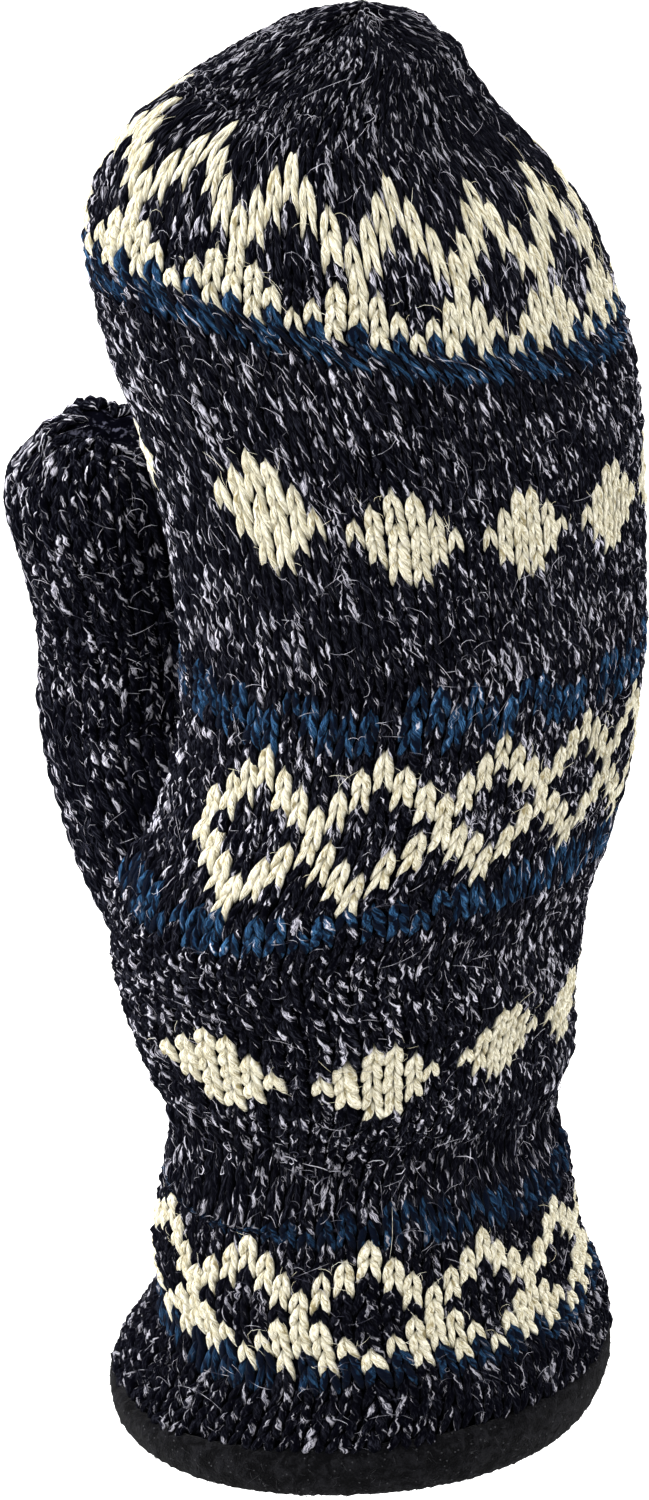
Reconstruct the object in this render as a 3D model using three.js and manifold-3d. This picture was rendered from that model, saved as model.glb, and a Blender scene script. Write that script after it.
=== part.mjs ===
// A knitted wool mitten for the right hand, in the form it has when worn, fingertips up.
// Millimetres, +Z towards the fingertips, the back of the hand faces -Y, the thumb lies at -X.
// The origin is the centre of the cuff's mouth, where the wrist goes in.
import * as THREE from 'three';
import Module from 'manifold-3d';
import { mergeVertices } from 'three/addons/utils/BufferGeometryUtils.js';

const wasm = await Module();
wasm.setup();

// Lengths from the mouth up
const cuffLength = 66;      // mouth to the elastic row that draws the wrist in
const handLength = 230;     // elastic row to the gathered tip
const thumbLength = 116;    // hidden root to the tip of the thumb, along its axis points

// Outer girths, width by depth
const cuffWidth = 96;
const cuffDepth = 93;
const wristWidth = 77;
const wristDepth = 60;
const palmWidth = 92.5;
const palmDepth = 75;
const knuckleWidth = 89.5;
const knuckleDepth = 69;
const fingerWidth = 99.5;
const fingerDepth = 61;
const thumbWidth = 42;
const thumbDepth = 36;
const squareness = 2.2;     // 2 is an ellipse, more is squarer

// How far the hand's middle line strays from straight
const sway = 10.5;          // sideways, away from the thumb
const bow = 9;              // towards the palm at the fingertips

// Walls and seats
const knitWall = 4.5;       // stranded wool with its loose floats behind
const tipWall = 6.5;        // the gathered ends are thicker
const fleeceWall = 1.6;     // black fleece edge
const seatGap = 0.3;        // clearance between pieces that touch

// Hem, bound over the lower edge of the knit
const hemHeight = 7.6;      // outer leg
const hemRise = 3.9;        // how much taller it is on the little finger's side than by the thumb
const mouthRise = 5;        // the mouth's edge stands higher on the little finger's side
const hemTurn = 0.7;        // where it is tallest, in radians round from that side
const hemInside = 13;       // leg that is turned to the inside
const hemFloor = 2.2;       // thickness of the fold under the knit's edge
const hemRounding = 2.7;    // height over which the fold rounds off at the mouth

// Gathers
const tipFolds = 5;
const tipFoldTurn = 1.4;    // radians, where the folds stand round the tip
const tipFoldDepth = 2.8;
const tipFoldsFrom = 0.80;  // shares of the hand's length between which the folds deepen
const tipFoldsFull = 0.97;
const tipThickFrom = 0.85;  // shares of the hand's length between which the wall thickens
const tipThickFull = 0.98;
const tipFlat = 0.6;        // the gathered tip ends this far short of a point
const thumbFolds = 5;
const thumbFoldDepth = 1.6;
const thumbFoldsFrom = 3;   // rows of the thumb's table below its end between which they deepen
const thumbFoldsFull = 0.8;
const wristFolds = 17;
const wristFoldDepth = 0.7;
const wristFoldReach = 9;   // above and below the elastic row

// Mesh fineness
const around = 48;
const handRows = 34;
const liningRows = 20;
const thumbAround = 26;
const thumbRows = 18;
const rowEasing = 0.10;     // how much closer the hand's rows stand near the tip
const angleStep = 0.01;     // steps along a skin for its outward direction: radians,
const heightStep = 0.5;     // millimetres of height on the hand,
const axisStep = 0.05;      // and rows of the thumb's table
const weld = 1e-4;          // points closer than this are one

const girths = {
	cuff: [cuffWidth, cuffDepth],
	wrist: [wristWidth, wristDepth],
	palm: [palmWidth, palmDepth],
	knuckle: [knuckleWidth, knuckleDepth],
	finger: [fingerWidth, fingerDepth],
};

// zone, height as a share of the zone, girth, width share, depth share, share of sway, share of bow
const ringTable = [
	['cuff', -0.05, 'cuff', 0.975, 0.970, -0.26, 0.00],
	['cuff', 0.08, 'cuff', 1.015, 1.000, -0.02, 0.00],
	['cuff', 0.20, 'cuff', 0.990, 0.965, 0.28, 0.00],
	['cuff', 0.36, 'cuff', 0.925, 0.880, 0.50, 0.00],
	['cuff', 0.58, 'cuff', 0.880, 0.800, 0.20, 0.00],
	['cuff', 0.80, 'wrist', 1.045, 1.060, 0.20, 0.10],
	['cuff', 1.00, 'wrist', 1.000, 1.000, 0.08, 0.20],
	['hand', 0.06, 'wrist', 1.110, 1.110, 0.00, 0.20],
	['hand', 0.13, 'palm', 0.970, 0.950, -0.20, 0.10],
	['hand', 0.20, 'palm', 1.000, 1.000, -0.16, 0.00],
	['hand', 0.28, 'palm', 0.960, 0.980, 0.50, 0.00],
	['hand', 0.36, 'knuckle', 0.980, 1.030, 0.92, 0.00],
	['hand', 0.45, 'knuckle', 1.000, 1.000, 1.00, 0.00],
	['hand', 0.54, 'knuckle', 1.020, 0.970, 0.89, 0.05],
	['hand', 0.63, 'finger', 0.955, 1.050, 0.63, 0.15],
	['hand', 0.72, 'finger', 1.000, 1.000, 0.17, 0.35],
	['hand', 0.80, 'finger', 0.980, 0.960, -0.28, 0.58],
	['hand', 0.86, 'finger', 0.880, 0.860, -0.54, 0.78],
	['hand', 0.91, 'finger', 0.718, 0.730, -0.68, 0.90],
	['hand', 0.95, 'finger', 0.520, 0.570, -0.38, 1.00],
	['hand', 0.98, 'finger', 0.350, 0.400, 0.00, 1.00],
	['hand', 1.00, 'finger', 0.120, 0.120, 0.05, 1.00],
].map(([zone, up, girth, wide, deep, side, back]) => ({
	height: zone === 'cuff' ? up * cuffLength : cuffLength + up * handLength,
	halfWidth: girths[girth][0] * wide / 2,
	halfDepth: girths[girth][1] * deep / 2,
	x: side * sway,
	y: back * bow,
}));

// Thumb axis: place across and behind as shares of the palm, height as a share of the thumb's length
// above its root, girth as shares of the thumb's width and depth
const thumbRootHeight = 0.115;   // of the hand's length above the elastic row
const thumbTable = [
	{ across: -0.19, behind: 0.08, up: 0.00, wide: 0.92, deep: 0.96 },
	{ across: -0.315, behind: 0.20, up: 0.13, wide: 1.05, deep: 1.04 },
	{ across: -0.40, behind: 0.31, up: 0.27, wide: 1.05, deep: 1.06 },
	{ across: -0.455, behind: 0.41, up: 0.42, wide: 1.01, deep: 1.00 },
	{ across: -0.463, behind: 0.435, up: 0.56, wide: 0.98, deep: 0.97 },
	{ across: -0.489, behind: 0.42, up: 0.70, wide: 1.00, deep: 0.98 },
	{ across: -0.510, behind: 0.40, up: 0.81, wide: 1.05, deep: 1.00 },
	{ across: -0.522, behind: 0.39, up: 0.89, wide: 0.95, deep: 0.90 },
	{ across: -0.530, behind: 0.385, up: 0.935, wide: 0.62, deep: 0.62 },
	{ across: -0.530, behind: 0.38, up: 0.955, wide: 0.18, deep: 0.20 },
].map(({ across, behind, up, wide, deep }) => ({
	x: across * palmWidth,
	y: behind * palmDepth,
	height: cuffLength + thumbRootHeight * handLength + up * thumbLength,
	halfWidth: wide * thumbWidth / 2,
	halfDepth: deep * thumbDepth / 2,
}));

const smooth = (edge0, edge1, value) => THREE.MathUtils.smoothstep(value, edge0, edge1);

// A curve through a table's column with no overshoot between its rows
function curveThrough(rows, key, place) {
	const last = rows.length - 1;
	const at = rows.map((row) => row[key]);
	const value = rows.map((row) => row[place]);
	const slope = at.slice(1).map((a, i) => (value[i + 1] - value[i]) / (a - at[i]));
	const tangent = value.map((_, i) => {
		if (i === 0) return slope[0];
		if (i === last) return slope[last - 1];
		const [before, after] = [slope[i - 1], slope[i]];
		return before * after <= 0 ? 0 : 2 * before * after / (before + after);
	});
	return (where) => {
		let i = 0;
		while (i < last - 1 && where > at[i + 1]) i++;
		const span = at[i + 1] - at[i];
		const t = THREE.MathUtils.clamp((where - at[i]) / span, 0, 1);
		const [t2, t3] = [t * t, t * t * t];
		return value[i] * (2 * t3 - 3 * t2 + 1) + tangent[i] * span * (t3 - 2 * t2 + t)
			+ value[i + 1] * (3 * t2 - 2 * t3) + tangent[i + 1] * span * (t3 - t2);
	};
}

const columns = (rows, key, names) => Object.fromEntries(
	names.map((name) => [name, curveThrough(rows, key, name)]));
const handAt = columns(ringTable, 'height', ['halfWidth', 'halfDepth', 'x', 'y']);
const thumbAt = columns(
	thumbTable.map((row, index) => ({ ...row, index })), 'index',
	['x', 'y', 'height', 'halfWidth', 'halfDepth']);
const tipHeight = cuffLength + handLength;
const thumbLast = thumbTable.length - 1;

// A point on a rounded, slightly squared outline
function outline(angle, halfWidth, halfDepth, power) {
	const [c, s] = [Math.cos(angle), Math.sin(angle)];
	return [
		halfWidth * Math.sign(c) * Math.abs(c) ** (2 / power),
		halfDepth * Math.sign(s) * Math.abs(s) ** (2 / power),
	];
}

// The hand's outer skin before any gathers
function handSkin(angle, height) {
	const [dx, dy] = outline(angle, handAt.halfWidth(height), handAt.halfDepth(height), squareness);
	return new THREE.Vector3(handAt.x(height) + dx, handAt.y(height) + dy, height);
}

// The thumb's outer skin: outlines square to its axis, from root to tip
function thumbAxis(t) {
	return new THREE.Vector3(thumbAt.x(t), thumbAt.y(t), thumbAt.height(t));
}
function thumbSkin(angle, t) {
	const from = thumbAxis(Math.max(t - axisStep / 2, 0));
	const to = thumbAxis(Math.min(t + axisStep / 2, thumbLast));
	const along = to.sub(from).normalize();
	const deep = new THREE.Vector3(0, 1, 0).addScaledVector(along, -along.y).normalize();
	const wide = new THREE.Vector3().crossVectors(deep, along);
	const [dx, dy] = outline(angle, thumbAt.halfWidth(t), thumbAt.halfDepth(t), 2);
	return thumbAxis(t).addScaledVector(wide, dx).addScaledVector(deep, dy);
}

// Outward direction of a skin, from two small steps along it
function outward(skin, angle, t, step) {
	const sideways = skin(angle + angleStep, t).sub(skin(angle - angleStep, t));
	const upwards = skin(angle, t + step).sub(skin(angle, t - step));
	return sideways.cross(upwards).normalize();
}

// Gathers: soft folds round the tip and small ones at the elastic row
function handFolds(angle, height) {
	const atTip = smooth(tipFoldsFrom, tipFoldsFull, (height - cuffLength) / handLength);
	const atWrist = Math.exp(-(((height - cuffLength) / wristFoldReach) ** 2));
	return tipFoldDepth * atTip * (0.5 * Math.cos(tipFolds * angle + tipFoldTurn) - 0.5)
		+ wristFoldDepth * atWrist * (Math.cos(wristFolds * angle) - 1);
}
function thumbTipFolds(angle, t) {
	const atTip = smooth(thumbLast - thumbFoldsFrom, thumbLast - thumbFoldsFull, t);
	return thumbFoldDepth * atTip * (0.5 * Math.cos(thumbFolds * angle + Math.PI) - 0.5);
}

// A closed body from rings of points, each ring one loop, closed at both ends by a middle point
function bodyFromRings(rings, firstPole, lastPole) {
	const count = rings[0].length;
	const points = [firstPole, ...rings.flat(), lastPole];
	const faces = [];
	for (let i = 0; i < count; i++) {
		const next = (i + 1) % count;
		faces.push(0, 1 + next, 1 + i);
		for (let row = 0; row < rings.length - 1; row++) {
			const [low, high] = [1 + row * count, 1 + (row + 1) * count];
			faces.push(low + i, low + next, high + next, low + i, high + next, high + i);
		}
		const top = 1 + (rings.length - 1) * count;
		faces.push(top + i, top + next, points.length - 1);
	}
	return toSolid(geometryFrom(points, faces));
}

// A closed ring from one profile carried round, a profile being a closed loop of points
function ringFromProfiles(profiles) {
	const [turns, size] = [profiles.length, profiles[0].length];
	const faces = [];
	for (let i = 0; i < turns; i++) {
		const next = (i + 1) % turns;
		for (let j = 0; j < size; j++) {
			const after = (j + 1) % size;
			const [a, b] = [i * size + j, next * size + j];
			const [c, d] = [next * size + after, i * size + after];
			faces.push(a, b, c, a, c, d);
		}
	}
	return toSolid(geometryFrom(profiles.flat(), faces));
}

function geometryFrom(points, faces) {
	const geometry = new THREE.BufferGeometry().setFromPoints(points);
	geometry.setIndex(faces);
	return mergeVertices(geometry, weld);
}

function toSolid(geometry) {
	return new wasm.Manifold(new wasm.Mesh({
		numProp: 3,
		vertProperties: new Float32Array(geometry.attributes.position.array),
		triVerts: new Uint32Array(geometry.index.array),
	}));
}

function toGeometry(solid) {
	const mesh = solid.getMesh();
	const geometry = new THREE.BufferGeometry();
	geometry.setAttribute('position', new THREE.BufferAttribute(mesh.vertProperties, 3));
	geometry.setIndex(new THREE.BufferAttribute(mesh.triVerts, 1));
	geometry.computeVertexNormals();
	return geometry;
}

const angles = (count) => Array.from({ length: count }, (_, i) => 2 * Math.PI * i / count);
const shares = (count) => Array.from({ length: count }, (_, i) => i / (count - 1));

// Heights of the rows, closer together where the tip rounds over
function rowHeights(count, low, high) {
	return shares(count).map((share) => {
		const eased = share + rowEasing * Math.sin(Math.PI * share) * share;
		return low + (high - low) * eased;
	});
}

// The mouth's edge lies in a plane that rises towards the little finger's side
const mouthAt = (x) => mouthRise * (0.5 + x / cuffWidth);

// How far the hem's outer leg reaches above the mouth's edge
const hemTop = (angle) => hemHeight + hemRise * Math.cos(angle + hemTurn);

// A point by the mouth: some millimetres in from the skin and up from the mouth's edge
function edgePoint(angle, inset, rise) {
	const height = mouthAt(handSkin(angle, 0).x) + rise;
	const flat = outward(handSkin, angle, height, heightStep).setZ(0).normalize();
	return handSkin(angle, height).addScaledVector(flat, -inset);
}

// The hand as one full body: its skin moved by some millimetres, with its gathers or plain.
// The push grows to another value where the tip is gathered.
function handBody(push, tipPush, gathered, rows) {
	const low = ringTable[0].height;
	const top = tipHeight - tipFlat;
	const rings = rowHeights(rows, low, top).map((height) => angles(around).map((angle) => {
		const atTip = smooth(tipThickFrom, tipThickFull, (height - cuffLength) / handLength);
		const move = THREE.MathUtils.lerp(push, tipPush, atTip) + (gathered ? handFolds(angle, height) : 0);
		const direction = outward(handSkin, angle, Math.min(height, top - heightStep), heightStep);
		return handSkin(angle, height).addScaledVector(direction, move);
	}));
	const foot = new THREE.Vector3(handAt.x(low), handAt.y(low), low);
	return bodyFromRings(rings, foot, new THREE.Vector3(handAt.x(top), handAt.y(top), top + tipPush));
}

// All that lies below the mouth's plane, raised by some millimetres
function belowMouth(rise) {
	const size = 4 * cuffWidth;
	const block = new THREE.BoxGeometry(size, size, size).translate(0, 0, -size / 2);
	block.rotateY(-Math.atan(mouthRise / cuffWidth)).translate(0, 0, mouthAt(0) + rise);
	block.deleteAttribute('normal').deleteAttribute('uv');
	return toSolid(mergeVertices(block, weld));
}

// Heights along one leg of the hem, from the fold's floor up
const legRises = (top) => shares(4).map((share) => hemFloor + (top - hemFloor) * share);

// A belt round the mouth between two insets, from below the mouth's edge to just past a leg's top
function mouthBelt(outer, inner, topOf) {
	return ringFromProfiles(angles(around).map((angle) => {
		const top = topOf(angle);
		const rises = [-hemFloor, ...legRises(top), top + seatGap];
		return [
			...rises.map((rise) => edgePoint(angle, outer, rise)),
			...rises.reverse().map((rise) => edgePoint(angle, inner, rise)),
		];
	}));
}

// The hand: a gathered skin outside, a plain one inside, its lower edge thinned to go into the hem
function makeHand(thumbHollow) {
	return handBody(0, 0, true, handRows)
		.subtract(handBody(-knitWall, -tipWall, false, liningRows))
		.subtract(belowMouth(hemFloor + seatGap))
		.subtract(mouthBelt(-knitWall, fleeceWall + seatGap, hemTop))
		.subtract(mouthBelt(knitWall, 2 * knitWall + hemFloor, () => hemInside))
		.subtract(thumbHollow);
}

// The thumb as a full body, its skin moved by some millimetres, with its gathers or plain
function thumbBody(push, gathered) {
	const rings = shares(thumbRows).map((share) => {
		const t = thumbLast * share;
		return angles(thumbAround).map((angle) => {
			const move = push + (gathered ? thumbTipFolds(angle, t) : 0);
			const from = THREE.MathUtils.clamp(t, 2 * axisStep, thumbLast - 2 * axisStep);
			return thumbSkin(angle, t).addScaledVector(outward(thumbSkin, angle, from, axisStep), move);
		});
	});
	const end = thumbAxis(thumbLast).add(new THREE.Vector3(0, 0, push));
	return bodyFromRings(rings, thumbAxis(0), end);
}

// The thumb: hollow into the hand, its root trimmed to sit on the hand's skin
function makeThumb(thumbHollow) {
	return thumbBody(0, true)
		.subtract(thumbHollow)
		.subtract(handBody(seatGap, seatGap, false, handRows));
}

// The hem: fleece folded under the knit's edge, up the outside and further up the inside
function makeHem() {
	const slotIn = knitWall + seatGap;
	const total = slotIn + fleeceWall;
	return ringFromProfiles(angles(around).map((angle) => {
		const top = hemTop(angle);
		const loop = [
			[0, top],
			...legRises(top).reverse().map((rise) => [fleeceWall, rise]),
			...legRises(hemInside).map((rise) => [slotIn, rise]),
			[total, hemInside], [total, (hemRounding + hemInside) / 2],
			[total, hemRounding], [0.9 * total, 0.2 * hemRounding], [0.5 * total, 0],
			[0.1 * total, 0.2 * hemRounding], [0, hemRounding], [0, (hemRounding + top) / 2],
		];
		return loop.map(([inset, rise]) => edgePoint(angle, inset, rise));
	}));
}

const thumbHollow = thumbBody(-knitWall, false);
const hand = makeHand(thumbHollow);
const thumb = makeThumb(thumbHollow);
const hem = makeHem();

const heatherWool = new THREE.MeshStandardMaterial({ color: 0x23242c, roughness: 0.95, metalness: 0 });
const shadedWool = new THREE.MeshStandardMaterial({ color: 0x1c1d26, roughness: 0.95, metalness: 0 });
const blackFleece = new THREE.MeshStandardMaterial({ color: 0x121214, roughness: 1, metalness: 0 });

function piece(name, solid, material) {
	const mesh = new THREE.Mesh(toGeometry(solid), material);
	mesh.name = name;
	return mesh;
}

const group = new THREE.Group();
group.add(piece('hand_shell', hand, heatherWool));
group.add(piece('thumb_shell', thumb, shadedWool));
group.add(piece('fleece_hem', hem, blackFleece));

export default group;
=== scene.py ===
"""A knitted wool mitten in its worn form: base cloth, stitches, fleece hem, loose fibres and a stage.

Lengths are metres. +Z runs to the fingertips, the back of the hand faces -Y, the thumb lies at -X.
Every stitch is a pair of yarn legs laid on the same skins as the CAD solids.
"""

import bpy
import numpy as np
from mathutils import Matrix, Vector


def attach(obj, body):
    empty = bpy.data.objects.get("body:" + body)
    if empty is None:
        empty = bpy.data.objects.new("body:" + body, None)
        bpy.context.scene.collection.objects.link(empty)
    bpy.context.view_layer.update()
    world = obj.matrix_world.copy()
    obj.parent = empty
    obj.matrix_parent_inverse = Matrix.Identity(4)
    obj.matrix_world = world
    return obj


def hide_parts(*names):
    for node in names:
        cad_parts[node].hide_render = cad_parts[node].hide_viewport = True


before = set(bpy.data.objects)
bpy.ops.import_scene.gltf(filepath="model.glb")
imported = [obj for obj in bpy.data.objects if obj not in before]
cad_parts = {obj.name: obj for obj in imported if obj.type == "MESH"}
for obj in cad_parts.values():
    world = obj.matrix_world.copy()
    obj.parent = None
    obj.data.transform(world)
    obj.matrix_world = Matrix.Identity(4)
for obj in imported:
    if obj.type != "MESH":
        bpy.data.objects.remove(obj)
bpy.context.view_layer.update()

bl_info = {
    "name": "Knitted mitten",
    "version": (1, 0, 0),
    "blender": (4, 5, 0),
    "location": "View3D > Sidebar > Mitten",
    "description": "Builds a patterned wool mitten from its sizes, rings and knitting charts",
    "category": "Add Mesh",
}

MM = 0.001

# The CAD nodes that the pieces stand for, with their slots
HAND_CAD = ("hand_shell", "patterned_wool")
THUMB_CAD = ("thumb_shell", "heather_wool")
HEM_CAD = ("fleece_hem", "black_fleece")

# Rings of the hand, from the mouth up.
# zone, height as a share of the zone, girth, width share, depth share, share of sway, share of bow
HAND_RINGS = (
    ("cuff", -0.05, "cuff", 0.975, 0.970, -0.26, 0.00),
    ("cuff", 0.08, "cuff", 1.015, 1.000, -0.02, 0.00),
    ("cuff", 0.20, "cuff", 0.990, 0.965, 0.28, 0.00),
    ("cuff", 0.36, "cuff", 0.925, 0.880, 0.50, 0.00),
    ("cuff", 0.58, "cuff", 0.880, 0.800, 0.20, 0.00),
    ("cuff", 0.80, "wrist", 1.045, 1.060, 0.20, 0.10),
    ("cuff", 1.00, "wrist", 1.000, 1.000, 0.08, 0.20),
    ("hand", 0.06, "wrist", 1.110, 1.110, 0.00, 0.20),
    ("hand", 0.13, "palm", 0.970, 0.950, -0.20, 0.10),
    ("hand", 0.20, "palm", 1.000, 1.000, -0.16, 0.00),
    ("hand", 0.28, "palm", 0.960, 0.980, 0.50, 0.00),
    ("hand", 0.36, "knuckle", 0.980, 1.030, 0.92, 0.00),
    ("hand", 0.45, "knuckle", 1.000, 1.000, 1.00, 0.00),
    ("hand", 0.54, "knuckle", 1.020, 0.970, 0.89, 0.05),
    ("hand", 0.63, "finger", 0.955, 1.050, 0.63, 0.15),
    ("hand", 0.72, "finger", 1.000, 1.000, 0.17, 0.35),
    ("hand", 0.80, "finger", 0.980, 0.960, -0.28, 0.58),
    ("hand", 0.86, "finger", 0.880, 0.860, -0.54, 0.78),
    ("hand", 0.91, "finger", 0.718, 0.730, -0.68, 0.90),
    ("hand", 0.95, "finger", 0.520, 0.570, -0.38, 1.00),
    ("hand", 0.98, "finger", 0.350, 0.400, 0.00, 1.00),
    ("hand", 1.00, "finger", 0.120, 0.120, 0.05, 1.00),
)

# Rings of the thumb, from its hidden root up.
# across and behind as shares of the palm, height as a share of the thumb, width share, depth share
THUMB_RINGS = (
    (-0.190, 0.080, 0.000, 0.92, 0.96),
    (-0.315, 0.200, 0.130, 1.05, 1.04),
    (-0.400, 0.310, 0.270, 1.05, 1.06),
    (-0.455, 0.410, 0.420, 1.01, 1.00),
    (-0.463, 0.435, 0.560, 0.98, 0.97),
    (-0.489, 0.420, 0.700, 1.00, 0.98),
    (-0.510, 0.400, 0.810, 1.05, 1.00),
    (-0.522, 0.390, 0.890, 0.95, 0.90),
    (-0.530, 0.385, 0.935, 0.62, 0.62),
    (-0.530, 0.380, 0.955, 0.18, 0.20),
)

# Knitting charts, top row first, one repeat wide: X cream, B blue, a dot the heather ground
CHARTS = {
    "peaks": ("X.....", "XX...X", ".XX.XX", "..XXX.", "...X..", "..XXX.", ".XXXXX", "XBXBXB"),
    "lattice": ("...X..", "..XXX.", ".XX.XX", "XX...X", "X.....", "XX...X", ".XX.XX", "..XXX.", "...X.."),
    "peak_tops": ("X.....", "XX...X", ".XX.XX", "..XXX.", "...X.."),
    "peak_feet": ("..XXX.", ".XXXXX", "XBXBXB"),
    "dots": ("..XX...", ".XXXX..", "XXXXXX.", ".XXXX..", "..XX..."),
    "blue_one": ("BB.BBBBB.BBB",),
    "blue_two": ("BBB.BB.BBBB.", ".BBBBBBB.BBB"),
    "blue_three": ("B..BB....BB.", "BBB.BBBB.BBB", ".BB..BBB.B.B"),
}

# Bands of the hand from the mouth up: chart or number of plain rows, stitches round, first column of the
# chart; then the band's top edge: its height in mm at the back of the hand, how it rises towards the
# little finger, how it rises towards both sides, how far the columns are turned and how unevenly they lie
BANDS = (
    (7, 60, 0, 25.8, 0.08, -0.02, -0.028, 0.11),
    ("blue_one", 60, 0, 28.9, 0.05, -0.015, -0.028, 0.11),
    ("peaks", 60, 0, 51.6, 0.02, 0.01, -0.023, 0.10),
    ("blue_two", 60, 0, 59.1, 0.10, -0.08, -0.024, 0.10),
    (2, 60, 0, 66.0, 0.10, -0.02, -0.028, 0.18),
    (5, 60, 0, 80.1, 0.075, 0.105, -0.030, 0.30),
    ("dots", 60, 20, 96.9, 0.04, 0.085, -0.019, 0.28),
    (3, 60, 0, 109.0, 0.09, 0.03, -0.030, 0.29),
    (4, 68, 0, 123.1, 0.13, -0.01, -0.038, 0.30),
    ("blue_two", 68, 0, 130.4, 0.15, 0.02, -0.043, 0.26),
    ("lattice", 68, 23, 161.9, 0.067, 0.02, -0.028, 0.20),
    ("blue_three", 68, 0, 174.4, 0.045, -0.005, -0.022, 0.20),
    (6, 74, 0, 196.8, -0.017, 0.025, -0.023, 0.17),
    ("dots", 74, 27, 213.6, -0.087, 0.08, -0.018, 0.15),
    (6, 74, 0, 237.5, -0.115, 0.03, -0.025, 0.19),
    ("blue_two", 72, 0, 242.4, -0.12, 0.045, -0.036, 0.20),
    ("peak_feet", 72, 3, 252.3, -0.125, 0.06, -0.036, 0.25),
    ("peak_tops", 72, 3, 275.0, -0.17, 0.03, -0.020, 0.185),
)
# More plain columns of a chart at the thumb's side than those left over when its repeats are counted off
GUSSET = {"lattice": 6}
# Where the columns lie closest together, as a share of the way round
CROWDED = 0.73
# Plain rows of the crown over what is left to the gathered tip: rows, stitches round
CROWN = ((3, 64), (3, 52), (3, 40), (2, 28), (2, 16))

# Rings along one leg of a stitch: share of its length, place out from the stitch's middle,
# rows above the stitch's middle, height over the cloth, half width and half thickness, in stitch widths
LEG = (
    (0.05, 0.085, 0.60, 0.000, 0.110, 0.105),
    (0.24, 0.150, 0.28, 0.095, 0.195, 0.190),
    (0.47, 0.228, -0.08, 0.125, 0.225, 0.215),
    (0.71, 0.300, -0.50, 0.075, 0.200, 0.190),
    (0.92, 0.360, -0.92, -0.030, 0.105, 0.105),
)
# The two end points of a leg: place out, rows above the middle, height over the cloth
LEG_ENDS = ((0.060, 0.74, -0.05), (0.380, -1.10, -0.12))
# Points round a leg's rings, and the length of yarn that one leg shows
LEG_SIDES = 6
LEG_LENGTH = 0.0055
# How unevenly the legs lie: along the row and across it in stitches, their girth as a share of itself, and
# their height over the cloth in stitch widths
WOBBLE = (0.038, 0.060, 0.075, 0.018)

# The foot of the first row, from the mouth's edge along the skin
FIRST_ROW = 3 * MM
# Rows of the thumb: their height, stitches round, and stitches round in the last rows to the tip
THUMB_ROW = 3.9 * MM
THUMB_ROUND = 30
THUMB_TIP = (24, 16, 10)
# Folds round the hand's tip and the thumb's, and gathers round the elastic row
TIP_FOLDS = 5
WRIST_FOLDS = 17
# Heights at which the heather ground goes over from cuff to palm, to fingers and to crown
STRETCHES = (0.098, 0.178, 0.240)
# How far the hem's edge covers the knit over its line, and how deep in the other skin a stitch is left out
HEM_COVER = 0.0012
HIDDEN_IN_THUMB = 0.0035
HIDDEN_IN_HAND = 0.0012

# The elastic row's middle height and half its height
ELASTIC_MIDDLE = 0.067
ELASTIC_HALF = 0.0035
# Painted shade on the marl in metres, from where it begins to where it is full: beside the thumb, where the
# hand shades it, in the gathers near the elastic row, and down the cuff, where less light reaches; the marl
# is also darker up the crown; and the cuff's part where blue rows get painted shade
PAINTED_SHADE_BY_THUMB = (-0.053, -0.042)
PAINTED_SHADE_AT_ELASTIC = (0.007, 0.002)
PAINTED_SHADE_DOWN_CUFF = (0.075, 0.040)
DARKER_UP_CROWN = (0.250, 0.285)
PAINTED_SHADE_BLUE_CUFF = (0.10, 0.05)
# Height of a row and stitches round on the purl side
PURL_ROW = 0.0034
PURL_ROUND = 60.0

# Loose fibres: share of all fibres, reach in stitches, bend, height over the cloth, girth and material
FIBRES = {
    "fibres_heather": (0.60, 1.1, 2.2, 0.0009, 1.0, "loose_wool"),
    "fibres_cream": (0.26, 0.8, 1.6, 0.0006, 1.0, "loose_cream"),
    "fibres_thumb": (0.12, 1.1, 2.2, 0.0008, 1.0, "loose_wool"),
    "curls_elastic": (0.014, 1.2, 5.0, 0.0010, 3.2, "loose_wool"),
}
# Lowest height of a loose fibre over the cloth, its length, its girth along it, and the pile's reach
FIBRE_LOW = 0.0003
FIBRE_LENGTH = 0.006
FIBRE_GIRTH = (0.5, 1.0, 1.0, 0.9, 0.4)
PILE_REACH = 0.0016

# Each tube's cell of the OFBake map: its empty margin and the part in use
CELL_EDGE, CELL_FILL = 0.08, 0.84
# Factor and count of the codes that tell tubes apart, so that neighbours get codes far from each other
CODE_STEP, CODE_COUNT = 7919, 4001
# Angle between the points that a normal is taken from
TURN_STEP = 0.01

# The stage: the camera's place, aim, lens and sensor in mm, the floor's height and half its side
CAMERA_PLACE = (-0.0066, -1.3424, 0.8143)
CAMERA_AIM = (-0.0066, 0.0, 0.145)
CAMERA_LENS, CAMERA_SENSOR = 184.7, 36.0
FLOOR_HEIGHT, FLOOR_HALF = -0.25, 6.0
# Lights: place, what it points at, width, height, power
LIGHTS = {
    "key": ((-0.42, -0.75, 1.15), CAMERA_AIM, 0.4, 0.4, 16),
    "fill": ((1.5, -1.4, 0.7), CAMERA_AIM, 1.2, 1.2, 6),
    "rim_left": ((-1.4, 0.1, 0.9), CAMERA_AIM, 0.6, 1.4, 36),
    "rim_right": ((1.5, 0.1, 0.7), CAMERA_AIM, 0.6, 1.4, 20),
    "backdrop": ((0.0, 2.4, 2.6), (0.0, 2.4, FLOOR_HEIGHT), 5.0, 5.0, 190),
}
WORLD_STRENGTH = 0.38


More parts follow.
